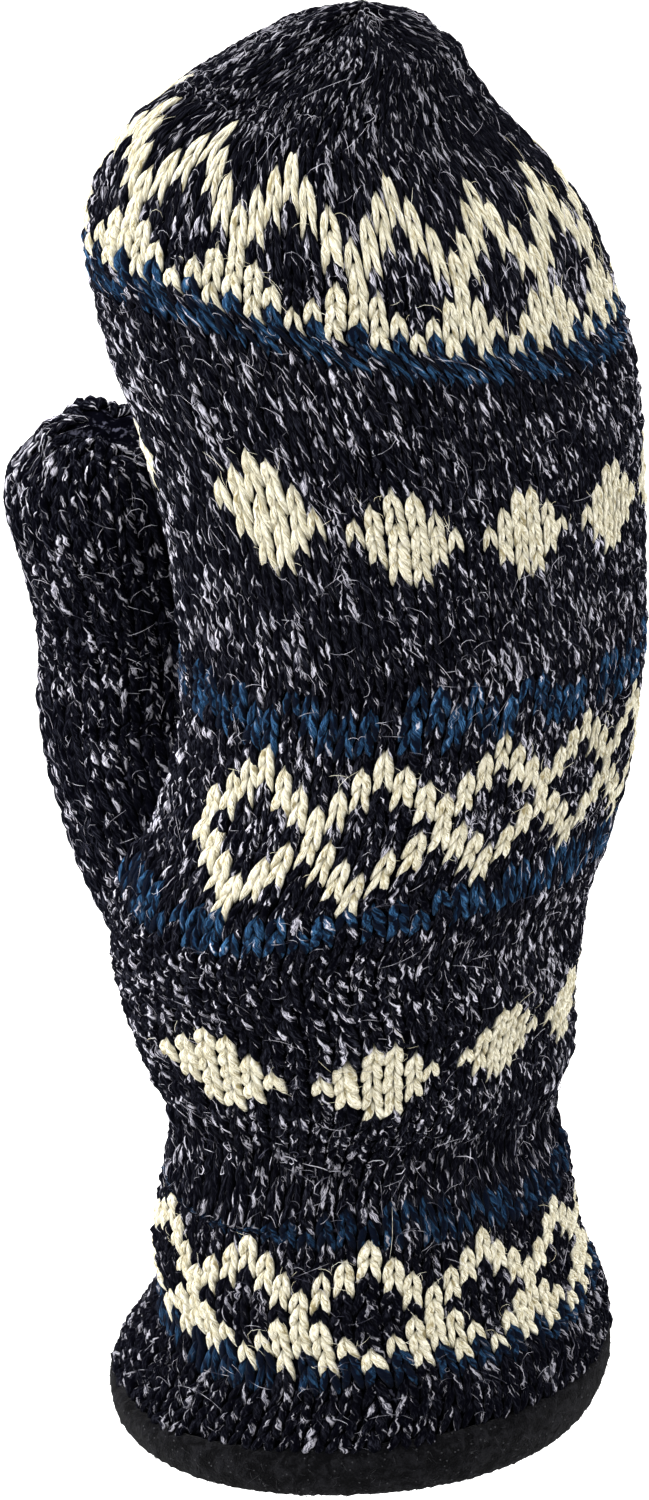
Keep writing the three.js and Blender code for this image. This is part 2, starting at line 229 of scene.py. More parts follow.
def monotone(at, value, where):
    """A curve through (at, value) with no overshoot: cubic pieces between neighbours, with a flat tangent
    at each turning point and the harmonic mean of the two slopes elsewhere."""
    slope = np.diff(value) / np.diff(at)
    tangent = np.zeros(len(at))
    tangent[0], tangent[-1] = slope[0], slope[-1]
    before, after = slope[:-1], slope[1:]
    same = before * after > 0
    both = np.where(same, before + after, 1.0)
    tangent[1:-1] = np.where(same, 2 * before * after / both, 0.0)
    i = np.clip(np.searchsorted(at, where) - 1, 0, len(at) - 2)
    span = at[i + 1] - at[i]
    t = np.clip((where - at[i]) / span, 0, 1)
    return (
        value[i] * (2 * t**3 - 3 * t**2 + 1)
        + tangent[i] * span * (t**3 - 2 * t**2 + t)
        + value[i + 1] * (3 * t**2 - 2 * t**3)
        + tangent[i + 1] * span * (t**3 - t**2)
    )


def smooth(low, high, value):
    """0 below low, 1 above high, and 3s^2 - 2s^3 of the share s between."""
    share = np.clip((value - low) / (high - low), 0, 1)
    return share * share * (3 - 2 * share)


def unit(vectors):
    """Vectors divided by their own length."""
    return vectors / np.maximum(np.linalg.norm(vectors, axis=-1, keepdims=True), 1e-12)


def turns(count):
    """Angles that part a full turn evenly."""
    return 2 * np.pi * np.arange(count) / count


def outline(angle, half_width, half_depth, power):
    """A rounded outline: each coordinate is its half size times the cosine or sine, taken to 2/power."""
    c, s = np.cos(angle), np.sin(angle)
    across = half_width * np.sign(c) * np.abs(c) ** (2 / power)
    return across, half_depth * np.sign(s) * np.abs(s) ** (2 / power)


class HandShape:
    """The hand's outer skin as a function of the angle round it and the height."""

    def __init__(self, sizes):
        self.sizes = s = sizes
        girth = {
            "cuff": (s.cuff_width, s.cuff_depth),
            "wrist": (s.wrist_width, s.wrist_depth),
            "palm": (s.palm_width, s.palm_depth),
            "knuckle": (s.knuckle_width, s.knuckle_depth),
            "finger": (s.finger_width, s.finger_depth),
        }
        rows = np.array(
            [
                (
                    up * s.cuff_length if zone == "cuff" else s.cuff_length + up * s.hand_length,
                    girth[name][0] * wide / 2,
                    girth[name][1] * deep / 2,
                    side * s.sway,
                    back * s.bow,
                )
                for zone, up, name, wide, deep, side, back in HAND_RINGS
            ]
        )
        self.height = np.linspace(rows[0, 0], rows[-1, 0], 2400)
        self.columns = [monotone(rows[:, 0], rows[:, c], self.height) for c in range(1, 5)]
        self.top = s.cuff_length + s.hand_length - s.tip_flat
        front = np.stack([self.columns[3] - self.columns[1], self.height], -1)
        step = np.linalg.norm(np.diff(front, axis=0), axis=1)
        self.arc = np.concatenate([[0], np.cumsum(step)])
        self.arc += -np.interp(0, self.height, self.arc)

    def at(self, height):
        """Half width, half depth and middle of the outline at a height."""
        return [np.interp(height, self.height, column) for column in self.columns]

    def skin(self, angle, height):
        """The point at an angle and height: the outline there, moved to the outline's middle."""
        half_width, half_depth, x, y = self.at(height)
        dx, dy = outline(angle, half_width, half_depth, self.sizes.squareness)
        return np.stack([x + dx, y + dy, height + 0 * dx], -1)

    def outward(self, angle, height):
        """Unit normal: the sideways step crossed with the upward step."""
        h = np.clip(height, self.height[0] + MM, self.top - MM)
        sideways = self.skin(angle + TURN_STEP, h) - self.skin(angle - TURN_STEP, h)
        upwards = self.skin(angle, h + MM / 2) - self.skin(angle, h - MM / 2)
        return unit(np.cross(sideways, upwards))

    def folds(self, angle, height):
        """Depth of the gathers: a few soft folds round the tip and small ones at the elastic row."""
        s = self.sizes
        up = (height - s.cuff_length) / s.hand_length
        at_tip = smooth(0.80, 0.97, up)
        at_wrist = np.exp(-(((height - s.cuff_length) / s.wrist_fold_reach) ** 2))
        tip = s.tip_fold_depth * at_tip * (0.5 * np.cos(TIP_FOLDS * angle + s.tip_fold_turn) - 0.5)
        return tip + s.wrist_fold_depth * at_wrist * (np.cos(WRIST_FOLDS * angle) - 1)

    def pushed(self, angle, height, push):
        """The skin with its gathers, moved out along its normal."""
        move = self.folds(angle, height) + push
        return self.skin(angle, height) + self.outward(angle, height) * move[..., None]

    def angle_of(self, share, height):
        """Angle at a share of the way round from the palm side, so that shares have even lengths: the even
        turn plus a quarter of the outline's flatness times the sine of twice the turn."""
        half_width, half_depth = self.at(height)[:2]
        flat = (half_width**2 - half_depth**2) / (half_width**2 + half_depth**2)
        turn = np.pi / 2 + 2 * np.pi * share
        return turn + flat / 4 * np.sin(2 * turn)

    def mouth(self, x):
        """Height of the mouth's edge, which rises towards the little finger."""
        return self.sizes.mouth_rise * (0.5 + x / self.sizes.cuff_width)

    def hem_line(self, angle):
        """Height of the hem's upper edge at an angle."""
        s = self.sizes
        x = self.skin(angle, np.zeros_like(angle))[..., 0]
        return self.mouth(x) + s.hem_height + s.hem_rise * np.cos(angle + s.hem_turn)

    def holds(self, points, inset):
        """True for points inside the skin less an inset."""
        half_width, half_depth, x, y = self.at(points[..., 2])
        n = self.sizes.squareness
        wide = np.abs((points[..., 0] - x) / (half_width - inset)) ** n
        deep = np.abs((points[..., 1] - y) / (half_depth - inset)) ** n
        return wide + deep < 1


class ThumbShape:
    """The thumb's outer skin as a function of the angle round it and the place along its axis."""

    def __init__(self, sizes):
        self.sizes = s = sizes
        table = np.array(THUMB_RINGS)
        root = s.cuff_length + s.thumb_root * s.hand_length
        rows = np.stack(
            [
                table[:, 0] * s.palm_width,
                table[:, 1] * s.palm_depth,
                root + table[:, 2] * s.thumb_length,
                table[:, 3] * s.thumb_width / 2,
                table[:, 4] * s.thumb_depth / 2,
            ],
            -1,
        )
        self.last = len(rows) - 1.0
        index = np.arange(len(rows), dtype=float)
        self.place = np.linspace(0, self.last, 1200)
        self.columns = [monotone(index, rows[:, c], self.place) for c in range(5)]
        side = np.stack([self.columns[0] - self.columns[3], self.columns[1], self.columns[2]], -1)
        step = np.linalg.norm(np.diff(side, axis=0), axis=1)
        self.arc = np.concatenate([[0], np.cumsum(step)])

    def axis(self, place):
        """The middle line at a place."""
        return np.stack([np.interp(place, self.place, c) for c in self.columns[:3]], -1)

    def skin(self, angle, place):
        """An ellipse square to the axis, its depth kept as near the hand's depth as it can be."""
        step = 0.025
        low, high = np.maximum(place - step, 0), np.minimum(place + step, self.last)
        along = unit(self.axis(high) - self.axis(low))
        deep = unit(np.array([0.0, 1.0, 0.0]) - along * along[..., 1:2])
        wide = np.cross(deep, along)
        half_width, half_depth = (np.interp(place, self.place, c) for c in self.columns[3:])
        dx, dy = half_width * np.cos(angle), half_depth * np.sin(angle)
        return self.axis(place) + wide * dx[..., None] + deep * dy[..., None]

    def outward(self, angle, place):
        """Unit normal: the sideways step crossed with the step along."""
        t = np.clip(place, 0.1, self.last - 0.1)
        sideways = self.skin(angle + TURN_STEP, t) - self.skin(angle - TURN_STEP, t)
        along = self.skin(angle, t + 0.05) - self.skin(angle, t - 0.05)
        return unit(np.cross(sideways, along))

    def folds(self, angle, place):
        """Depth of the folds round the thumb's tip."""
        at_tip = smooth(self.last - 3, self.last - 0.8, place)
        return self.sizes.thumb_fold_depth * at_tip * (0.5 * np.cos(TIP_FOLDS * angle + np.pi) - 0.5)

    def pushed(self, angle, place, push):
        """The skin with its gathers, moved out along its normal."""
        move = self.folds(angle, place) + push
        return self.skin(angle, place) + self.outward(angle, place) * move[..., None]

    def holds(self, points, inset):
        """True for points inside the skin less an inset, by the nearest place on the axis."""
        places = np.linspace(0, self.last - 0.5, 60)
        middle = self.axis(places)
        gap = np.linalg.norm(points[:, None, :] - middle[None], axis=-1)
        nearest = places[np.argmin(gap, axis=1)]
        half_depth = np.interp(nearest, self.place, self.columns[4])
        return gap.min(axis=1) < half_depth - inset


class HandCloth:
    """The knitted hand as cloth: a share round and a row number give a point on its skin."""

    def __init__(self, shape):
        self.shape = shape
        edges, self.rows = [(0.0, FIRST_ROW, 0.0, 0.0, *BANDS[0][6:])], []
        for chart, around, first, top, lean, curl, turn, squeeze in BANDS:
            lines = (".",) * chart if isinstance(chart, int) else CHARTS[chart][::-1]
            spare = around % len(lines[0]) + GUSSET.get(chart, 0)
            self.rows += [(line, around, first, spare) for line in lines]
            arc = np.interp(top * MM, shape.height, shape.arc)
            edges.append((edges[-1][0] + len(lines), arc, lean, curl, turn, squeeze))
        self.top_arc = np.interp(shape.top, shape.height, shape.arc)
        left = self.top_arc + shape.at(shape.top)[0] - edges[-1][1]
        crown_rows = sum(count for count, _ in CROWN)
        for count, around in CROWN:
            self.rows += [(".", around, 0, 0)] * count
            row, arc, lean, curl, turn, squeeze = edges[-1]
            arc += left * count / crown_rows
            edges.append((row + count, arc, lean * 0.5, curl * 0.4, turn, squeeze))
        self.edges = np.array(edges).T

    def point(self, share, row):
        """The share is turned and squeezed by a sine, and gives the angle. The row's arc length up the
        front, plus its lean times the cosine and its curl times the squared cosine, gives the height.
        Past the top the cloth runs on inwards over the gathered tip."""
        shape = self.shape
        arc, lean, curl, turn, squeeze = (np.interp(row, self.edges[0], value) for value in self.edges[1:])
        share = share + turn - squeeze / (2 * np.pi) * np.cos(2 * np.pi * (share - CROWDED - 0.25))
        height = np.interp(arc, shape.arc, shape.height)
        angle = shape.angle_of(share, height)
        side = np.cos(angle)
        side = side * (2 - side * side)
        arc = arc + (lean + curl * side) * side * shape.at(height)[0]
        height = np.interp(arc, shape.arc, shape.height)
        height = np.minimum(height, shape.top)
        half_width, _, x, y = shape.at(height)
        over = np.maximum(arc - self.top_arc, 0)
        keep = 1 - np.minimum(over / half_width, 0.97)
        fold = shape.folds(angle, height)
        place = shape.skin(angle, height) + shape.outward(angle, height) * fold[..., None]
        middle = np.stack([x, y, height], -1)
        place = middle + (place - middle) * np.stack([keep, keep, np.ones_like(keep)], -1)
        place[..., 2] += 0.25 * over
        return place

    def stitches(self):
        """One line for each stitch: share round, row, stitches round, yarn code."""
        found = []
        for row, (line, around, first, spare) in enumerate(self.rows):
            column = np.arange(around)
            place = (column - first) % around
            yarn = np.array(["XB".find(c) for c in line])[place % len(line)] + 1
            yarn[place >= around - spare] = 0
            share = (column + 0.5) / around
            ones = np.ones(around)
            found.append(np.stack([share, ones * (row + 0.5), ones * around, yarn], -1))
        return np.concatenate(found)


class ThumbCloth:
    """The knitted thumb as cloth: a share round and a row number give a point on its skin."""

    def __init__(self, shape):
        self.shape = shape
        self.count = int((shape.arc[-1] - 1.2 * MM) / THUMB_ROW)

    def point(self, share, row):
        """The row number times the row's height is the arc length along the thumb's outer side."""
        shape = self.shape
        place = np.interp(row * THUMB_ROW, shape.arc, shape.place)
        angle = np.pi / 2 + 2 * np.pi * share
        fold = shape.folds(angle, place)
        return shape.skin(angle, place) + shape.outward(angle, place) * fold[..., None]

    def stitches(self):
        """One line for each stitch: share round, row, stitches round, yarn code. The last rows narrow."""
        found = []
        for row in range(self.count):
            left = self.count - row
            around = THUMB_ROUND if left > len(THUMB_TIP) else THUMB_TIP[-left]
            share = (np.arange(around) + 0.5) / around
            ones = np.ones(around)
            found.append(np.stack([share, ones * (row + 0.5), ones * around, 0 * ones], -1))
        return np.concatenate(found)


def leg_tubes(cloth, stitches, level, rng):
    """Two closed tubes for each stitch. A leg's middle line runs from the stitch's apex down and out, and
    its ring at each place is an ellipse: across the cloth by the half width, out of it by the half
    thickness. Widths and heights are in stitch widths, measured on the cloth itself."""
    count = len(stitches)
    side = np.tile([-1.0, 1.0], count)
    stitch = np.repeat(stitches, 2, axis=0)
    wobble = np.repeat(rng.normal(0, 1, (count, 4)), 2, axis=0) + 0.5 * rng.normal(0, 1, (2 * count, 4))
    share, row, around = stitch[:, 0], stitch[:, 1], stitch[:, 2]
    wobble = wobble * WOBBLE
    share = share + wobble[:, 0] / around
    row = row + wobble[:, 1]
    fat, lift = 1 + wobble[:, 2], wobble[:, 3]

    def placed(out, up):
        return cloth.point(share + side * out / around, row + up)

    def frame_at(out, up):
        here = placed(out, up)
        h = 0.1
        right = cloth.point(share + (side * out + h) / around, row + up)
        across = right - cloth.point(share + (side * out - h) / around, row + up)
        upward = placed(out, up + h) - placed(out, up - h)
        normal = unit(np.cross(across, upward))
        width = np.linalg.norm(across, axis=-1) / (2 * h)
        return here, unit(across), normal, width

    turn = turns(LEG_SIDES) - np.pi / 2
    rings = []
    for _, out, up, height, half_width, half_thick in LEG:
        here, across, normal, width = frame_at(out, up)
        width = (width * fat)[:, None, None]
        rise = width * (height + lift[:, None, None])
        middle = (here + normal * level)[:, None, :] + normal[:, None, :] * rise
        wide = across[:, None, :] * width * half_width * np.cos(turn)[None, :, None]
        thick = normal[:, None, :] * width * half_thick * np.sin(turn)[None, :, None]
        rings.append(middle + wide + thick)
    ends = []
    for out, up, height in LEG_ENDS:
        here, across, normal, width = frame_at(out, up)
        ends.append(here + normal * (level + width * (height + lift))[:, None])
    return np.stack(rings, 1), np.stack(ends, 1)


def tube_mesh(name, rings, ends, along, tall):
    """A mesh of closed tubes from rings (tube, ring, side, 3) and their two end points.

    The OFBake map gives each tube its own cell, side round by share along. The Yarn map holds a whole
    number for each tube plus the share round it, and the way along it in millimetres."""
    tubes, count, sides = rings.shape[:3]
    each = count * sides + 2
    points = np.concatenate([rings.reshape(tubes, -1, 3), ends], 1).reshape(-1, 3)
    j, zero = np.arange(sides), np.zeros(sides)
    after = (j + 1) % sides
    low, top = np.arange(count - 1)[:, None] * sides, (count - 1) * sides
    wall = np.stack([low + j, low + after, low + sides + after, low + sides + j], -1)
    first = np.stack([after, j, each - 2 + 0 * j], -1)
    last = np.stack([top + j, top + after, each - 1 + 0 * j], -1)
    v = np.asarray(along, float)
    v0, v1 = v[:-1, None] + zero, v[1:, None] + zero
    u0, u1 = j / sides, (j + 1) / sides
    wide0, wide1 = 0 * v0 + u0, 0 * v0 + u1
    # a tube's wall, its first end and its last: corners, share round and share along
    parts = (
        (wall, (wide0, wide1, wide1, wide0), (v0, v0, v1, v1)),
        (first, (u1, u0, (u0 + u1) / 2), (v[0] + zero, v[0] + zero, zero)),
        (last, (u0, u1, (u0 + u1) / 2), (v[-1] + zero, v[-1] + zero, 1 + zero)),
    )
    tube = np.arange(tubes)
    base = tube[:, None] * each
    corners = np.concatenate([(base + faces.reshape(-1)).reshape(-1) for faces, _, _ in parts])
    owner = np.concatenate([np.repeat(tube, faces.size) for faces, _, _ in parts])
    u, w = (
        np.concatenate([np.tile(np.stack(part[k], -1).reshape(-1), tubes) for part in parts]) for k in (1, 2)
    )
    quad_count, fan_count = tubes * wall.size // 4, tubes * (first.size + last.size) // 3
    starts = np.concatenate([4 * np.arange(quad_count), 4 * quad_count + 3 * np.arange(fan_count)])
    grid = int(np.ceil(np.sqrt(tubes)))
    cell = np.stack([owner % grid, owner // grid], -1)
    bake = (cell + CELL_EDGE + CELL_FILL * np.stack([u, w], -1)) / grid
    code = (tube * CODE_STEP) % CODE_COUNT
    yarn = np.stack([code[owner] + u * 0.998 + 0.001, w * tall / MM], -1)
    return mesh_from(name, points, corners, starts, {"OFBake": bake, "Yarn": yarn})


def mesh_from(name, points, corners, starts, maps):
    """A smooth mesh from whole arrays of points, face corners, face starts and named UV maps."""
    mesh = bpy.data.meshes.new(name)
    mesh.vertices.add(len(points))
    mesh.vertices.foreach_set("co", points.astype(np.float32).reshape(-1))
    mesh.loops.add(len(corners))
    mesh.loops.foreach_set("vertex_index", corners.astype(np.int32))
    mesh.polygons.add(len(starts))
    mesh.polygons.foreach_set("loop_start", starts.astype(np.int32))
    mesh.update(calc_edges=True)
    mesh.shade_smooth()
    for key, values in maps.items():
        layer = mesh.uv_layers.new(name=key)
        layer.data.foreach_set("uv", values.astype(np.float32).reshape(-1))
    if mesh.validate():
        raise RuntimeError(name + " has faults in its faces")
    return mesh


def ring_mesh(name, grid):
    """A mesh closed both ways from a grid of points (round, profile, 3)."""
    turns, size = grid.shape[:2]
    i, j = np.meshgrid(np.arange(turns), np.arange(size), indexing="ij")
    next_i, next_j = (i + 1) % turns, (j + 1) % size
    quads = np.stack([i * size + j, next_i * size + j, next_i * size + next_j, i * size + next_j], -1)
    u0, v0 = i / turns, j / size
    u1, v1 = (i + 1) / turns, (j + 1) / size
    bake = np.stack([np.stack([u0, u1, u1, u0], -1), np.stack([v0, v0, v1, v1], -1)], -1)
    starts = 4 * np.arange(turns * size)
    maps = {"OFBake": 0.01 + 0.98 * bake.reshape(-1, 2)}
    return mesh_from(name, grid.reshape(-1, 3), quads.reshape(-1), starts, maps)


def closed_mesh(name, rings, first_pole, last_pole):
    """One closed skin through rings (ring, side, 3), from a pole to a pole. A cup's rings go down its inner
    wall, round its lip and up its outer wall."""
    along = np.linspace(0.02, 0.98, len(rings))
    return tube_mesh(name, rings[None], np.stack([first_pole, last_pole])[None], along, 1.0)


def add_piece(name, mesh, look, cad):
    """Puts a mesh in the scene as a piece of the named material. It rides on the part's body and stands for
    a CAD node, which it hides; the slot that comes with the node is not used."""
    piece = bpy.data.objects.new(name, mesh)
    bpy.context.scene.collection.objects.link(piece)
    mesh.materials.append(material(look))
    replaced, slot = cad
    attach(piece, "root")
    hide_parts(replaced)
    return piece


def aimed(name, data, place, aim):
    """Puts a camera or a light in the scene at a place, pointed at its aim."""
    item = bpy.data.objects.new(name, data)
    bpy.context.scene.collection.objects.link(item)
    item.location = place
    item.rotation_euler = (Vector(aim) - item.location).to_track_quat("-Z", "Y").to_euler()
    return item


def cut_away(piece, mesh):
    """Takes a closed mesh out of a piece and keeps the result as the piece's own mesh."""
    cutter = bpy.data.objects.new(piece.name + "_cutter", mesh)
    bpy.context.scene.collection.objects.link(cutter)
    cut = piece.modifiers.new("cut", "BOOLEAN")
    cut.operation, cut.object, cut.solver = "DIFFERENCE", cutter, "EXACT"
    bpy.context.view_layer.update()
    done = piece.evaluated_get(bpy.context.evaluated_depsgraph_get())
    result = bpy.data.meshes.new_from_object(done)
    if len(result.polygons) < 100:
        raise RuntimeError("the cut left nothing of " + piece.name)
    old = piece.data
    piece.modifiers.clear()
    piece.data = result
    bpy.data.meshes.remove(old)
    bpy.data.objects.remove(cutter)
    bpy.data.meshes.remove(mesh)


# Materials


def plug(tree, made, inputs):
    """Links or sets a node's inputs."""
    for key, value in inputs.items():
        if isinstance(value, bpy.types.NodeSocket):
            tree.links.new(value, made.inputs[key])
        else:
            made.inputs[key].default_value = value
    return made


def node(tree, kind, inputs=None, **settings):
    """Adds a shader node with its settings, and links or sets its inputs."""
    made = tree.nodes.new(kind)
    for key, value in settings.items():
        setattr(made, key, value)
    return plug(tree, made, inputs or {})


def maths(tree, operation, a, b=0.0, c=0.0):
    """One Math node's value."""
    return node(tree, "ShaderNodeMath", {0: a, 1: b, 2: c}, operation=operation).outputs[0]


def blended(tree, factor, a, b):
    """Colour a mixed with colour b by a factor."""
    a, b = (c if isinstance(c, bpy.types.NodeSocket) else (*c, 1) for c in (a, b))
    return node(tree, "ShaderNodeMix", {"Factor": factor, 6: a, 7: b}, data_type="RGBA").outputs[2]


def ranged(tree, value, low, high):
    """A value stretched so that low gives 0 and high gives 1, eased at both ends."""
    inputs = {"Value": value, "From Min": low, "From Max": high}
    return node(tree, "ShaderNodeMapRange", inputs, interpolation_type="SMOOTHSTEP").outputs["Result"]


def noise(tree, place, scale, detail, **more):
    """Cloudy values at a place, with so many clouds to the metre."""
    inputs = {"Vector": place, "Scale": scale, "Detail": detail, **more}
    return node(tree, "ShaderNodeTexNoise", inputs).outputs["Fac"]


def own_place(tree):
    """The piece's own coordinates."""
    return node(tree, "ShaderNodeTexCoord").outputs["Object"]


def axes_of(tree, place):
    """The three coordinates of a place."""
    return node(tree, "ShaderNodeSeparateXYZ", {0: place}).outputs


def new_group(name, takes, gives):
    """An empty node group and its input sockets. Its inputs are numbers or colours with their defaults, and
    its outputs are named with their kinds."""
    tree = bpy.data.node_groups.new(name, "ShaderNodeTree")
    for label, default in takes.items():
        kind = "NodeSocketFloat" if isinstance(default, float) else "NodeSocketColor"
        tree.interface.new_socket(label, in_out="INPUT", socket_type=kind).default_value = default
    for label, kind in gives.items():
        tree.interface.new_socket(label, in_out="OUTPUT", socket_type=kind)
    return tree, tree.nodes.new("NodeGroupInput").outputs


def yarn_group():
    """The yarn's inner pattern, read from the Yarn map: fine fibre streaks, broad slivers of one ply, the
    grooves between plies and a value for each leg. All of them follow the twist round the leg."""
    name = "twisted_yarn"
    if name in bpy.data.node_groups:
        return bpy.data.node_groups[name]
    takes = {"Twist": 0.09, "Plies": 3.0, "Sliver length": 4.5, "Fibre fineness": 18.0}
    gives = dict.fromkeys(("Streak", "Sliver", "Groove", "Leg"), "NodeSocketFloat")
    tree, into = new_group(name, takes, gives)
    round_and_leg, along, _ = axes_of(tree, node(tree, "ShaderNodeUVMap", uv_map="Yarn").outputs[0])
    leg = maths(tree, "FLOOR", round_and_leg)
    around = maths(tree, "FRACT", round_and_leg)
    line = maths(tree, "MULTIPLY_ADD", leg, 2.3, along)
    bend = node(tree, "ShaderNodeTexNoise", {"W": line, "Scale": 0.8}, noise_dimensions="1D").outputs["Fac"]
    phase = maths(tree, "MULTIPLY_ADD", along, into["Twist"], around)
    phase = maths(tree, "MULTIPLY_ADD", bend, 0.30, phase)
    chance = node(tree, "ShaderNodeTexWhiteNoise", {"W": leg}, noise_dimensions="1D").outputs["Value"]

    def streaks(round_scale, long_scale, detail):
        x = maths(tree, "MULTIPLY", phase, round_scale)
        y = maths(tree, "MULTIPLY", along, long_scale)
        spot = node(tree, "ShaderNodeCombineXYZ", {0: x, 1: y, 2: maths(tree, "MULTIPLY", leg, 3.17)})
        return noise(tree, spot.outputs[0], 1.0, detail, Roughness=0.6)

    fine = streaks(into["Fibre fineness"], 0.55, 2.0)
    broad = streaks(4.0, maths(tree, "DIVIDE", 1.6, into["Sliver length"]), 1.0)
    ply = maths(tree, "MULTIPLY", phase, into["Plies"])
    wave = maths(tree, "SINE", maths(tree, "MULTIPLY", ply, 2 * np.pi))
    groove = maths(tree, "MULTIPLY_ADD", wave, 0.5, 0.5)
    node(tree, "NodeGroupOutput", {"Streak": fine, "Sliver": broad, "Groove": groove, "Leg": chance})
    return tree


def yarn_in(tree, inputs=None):
    """The yarn's inner pattern in a material or a group."""
    return node(tree, "ShaderNodeGroup", inputs, node_tree=yarn_group()).outputs


def new_material(name):
    """An empty node material with its output and Principled shader."""
    material = bpy.data.materials.new(name)
    material.use_nodes = True
    tree = material.node_tree
    tree.nodes.clear()
    shader = tree.nodes.new("ShaderNodeBsdfPrincipled")
    end = tree.nodes.new("ShaderNodeOutputMaterial")
    tree.links.new(shader.outputs[0], end.inputs[0])
    shader.inputs["Specular IOR Level"].default_value = 0.0
    return material, tree, shader


def relief(tree, shader, height, strength, distance):
    """A height that dents the shader's normal."""
    bump = node(tree, "ShaderNodeBump", {"Height": height, "Strength": strength, "Distance": distance})
    tree.links.new(bump.outputs[0], shader.inputs["Normal"])


def coat(tree, shader, colour, rough, sheen=0.0, sheen_rough=0.5, sheen_tint=(1, 1, 1)):
    """Gives a shader its colour, its roughness and its sheen."""
    plug(tree, shader, {"Base Color": colour, "Roughness": rough, "Sheen Weight": sheen})
    plug(tree, shader, {"Sheen Roughness": sheen_rough, "Sheen Tint": (*sheen_tint, 1)})


def cream_material(name, looks):
    """Cream wool: fibre streaks run from its body colour to its light one, legs differ a little, and the
    plies' grooves are dented. The grooves and the dark lines between fibres get painted shade."""
    material, tree, shader = new_material(name)
    yarn = yarn_in(tree)
    colour = blended(tree, ranged(tree, yarn["Streak"], 0.38, 0.62), looks.cream, looks.cream_light)
    # painted shade between fibres, in the plies' grooves and in low slivers, mixed towards the cream shadow
    line = ranged(tree, yarn["Streak"], 0.47, 0.33)
    gap = maths(tree, "MULTIPLY", ranged(tree, yarn["Groove"], 0.35, 0.0), 0.45)
    dull = maths(tree, "MAXIMUM", line, maths(tree, "MAXIMUM", gap, ranged(tree, yarn["Sliver"], 0.40, 0.26)))
    colour = blended(tree, dull, colour, looks.cream_shadow)
    colour = blended(tree, maths(tree, "MULTIPLY", yarn["Leg"], 0.20), colour, looks.cream_shadow)
    coat(tree, shader, colour, 0.9, 0.08, 0.45, looks.cream_light)
    relief(tree, shader, maths(tree, "MULTIPLY_ADD", yarn["Groove"], 0.55, yarn["Streak"]), 1.0, 0.0006)
    return material


def blue_material(name, looks):
    """Dark blue wool: blue fibres stand on a near-black ply, with slivers of the pale marl here and there.
    The rows of the cuff get painted shade, darker towards the bottom."""
    material, tree, shader = new_material(name)
    yarn = yarn_in(tree, {"Sliver length": 7.0, "Fibre fineness": 19.0})
    colour = blended(tree, ranged(tree, yarn["Streak"], 0.42, 0.66), looks.blue, looks.blue_light)
    sliver = maths(tree, "MULTIPLY_ADD", yarn["Streak"], 0.30, yarn["Sliver"])
    colour = blended(tree, ranged(tree, sliver, 0.83, 0.90), colour, looks.heather_fleck)
    dull = maths(tree, "MULTIPLY_ADD", yarn["Leg"], 0.55, ranged(tree, yarn["Sliver"], 0.62, 0.38))
    # painted shade on the blue rows, darker down the cuff
    low = ranged(tree, axes_of(tree, own_place(tree))[2], *PAINTED_SHADE_BLUE_CUFF)
    dull = maths(tree, "MULTIPLY_ADD", low, 0.30, dull)
    dull = maths(tree, "MAXIMUM", maths(tree, "MULTIPLY", low, 0.62), dull)
    colour = blended(tree, maths(tree, "MINIMUM", dull, 1.0), colour, looks.blue_shadow)
    coat(tree, shader, colour, 0.92, 0.02)
    relief(tree, shader, maths(tree, "MULTIPLY_ADD", yarn["Groove"], 0.4, yarn["Streak"]), 0.9, 0.0005)
    return material


def painted_shade_and_dark_crown(tree, axes, patch, on_thumb):
    """A mask from 0 to 1 for painted shade, in metres of the mitten: the thumb's side next to the hand,
    shaded by it;
    or else the elastic row's gathers in uneven patches and the cuff from its top down, both painted shade,
    and the crown from its foot up, which is only made darker."""
    if on_thumb:
        # painted shade on the thumb's side next to the hand
        return ranged(tree, axes[0], *PAINTED_SHADE_BY_THUMB)
    away = maths(tree, "ABSOLUTE", maths(tree, "SUBTRACT", axes[2], ELASTIC_MIDDLE))
    # painted shade in the gathers at the elastic row, in uneven patches
    elastic_gather_shade = maths(tree, "MULTIPLY", ranged(tree, away, *PAINTED_SHADE_AT_ELASTIC), ranged(tree, patch, 0.35, 0.55))
    # painted shade down the cuff from its top, and a crown made darker from its foot up
    ends = maths(tree, "MAXIMUM", ranged(tree, axes[2], *PAINTED_SHADE_DOWN_CUFF), ranged(tree, axes[2], *DARKER_UP_CROWN))
    return maths(tree, "MAXIMUM", elastic_gather_shade, maths(tree, "MULTIPLY", ends, 0.7))


def marl_group():
    """Marled wool: a dark ply twisted with a pale one that shows as slivers, fewer in some patches. Pale
    slivers and the dark between them both carry fine fibre lines."""
    name = "marled_wool"
    if name in bpy.data.node_groups:
        return bpy.data.node_groups[name]
    takes = {"Pale from": 0.75, "Pale to": 0.81}
    takes |= dict.fromkeys(("Dark", "Fibre", "Shade", "Fleck"), (0, 0, 0, 1))
    gives = {"Colour": "NodeSocketColor", "Height": "NodeSocketFloat", "Patch": "NodeSocketFloat"}
    tree, into = new_group(name, takes, gives)
    yarn = yarn_in(tree, {"Twist": 0.07, "Sliver length": 8.0, "Fibre fineness": 19.0})
    patch = noise(tree, own_place(tree), 75.0, 1.0)
    rarer = maths(tree, "MULTIPLY_ADD", patch, -0.22, 0.11)
    sliver = maths(tree, "SUBTRACT", yarn["Sliver"], rarer)
    sliver = maths(tree, "MULTIPLY_ADD", yarn["Streak"], 0.30, sliver)
    pale = ranged(tree, sliver, into["Pale from"], into["Pale to"])
    dark = blended(tree, ranged(tree, yarn["Streak"], 0.50, 0.68), into["Dark"], into["Fibre"])
    fleck = blended(tree, ranged(tree, yarn["Streak"], 0.40, 0.60), into["Shade"], into["Fleck"])
    height = maths(tree, "MULTIPLY_ADD", pale, 0.4, yarn["Streak"])
    out = {"Colour": blended(tree, pale, dark, fleck), "Height": height, "Patch": patch}
    node(tree, "NodeGroupOutput", out)
    return tree


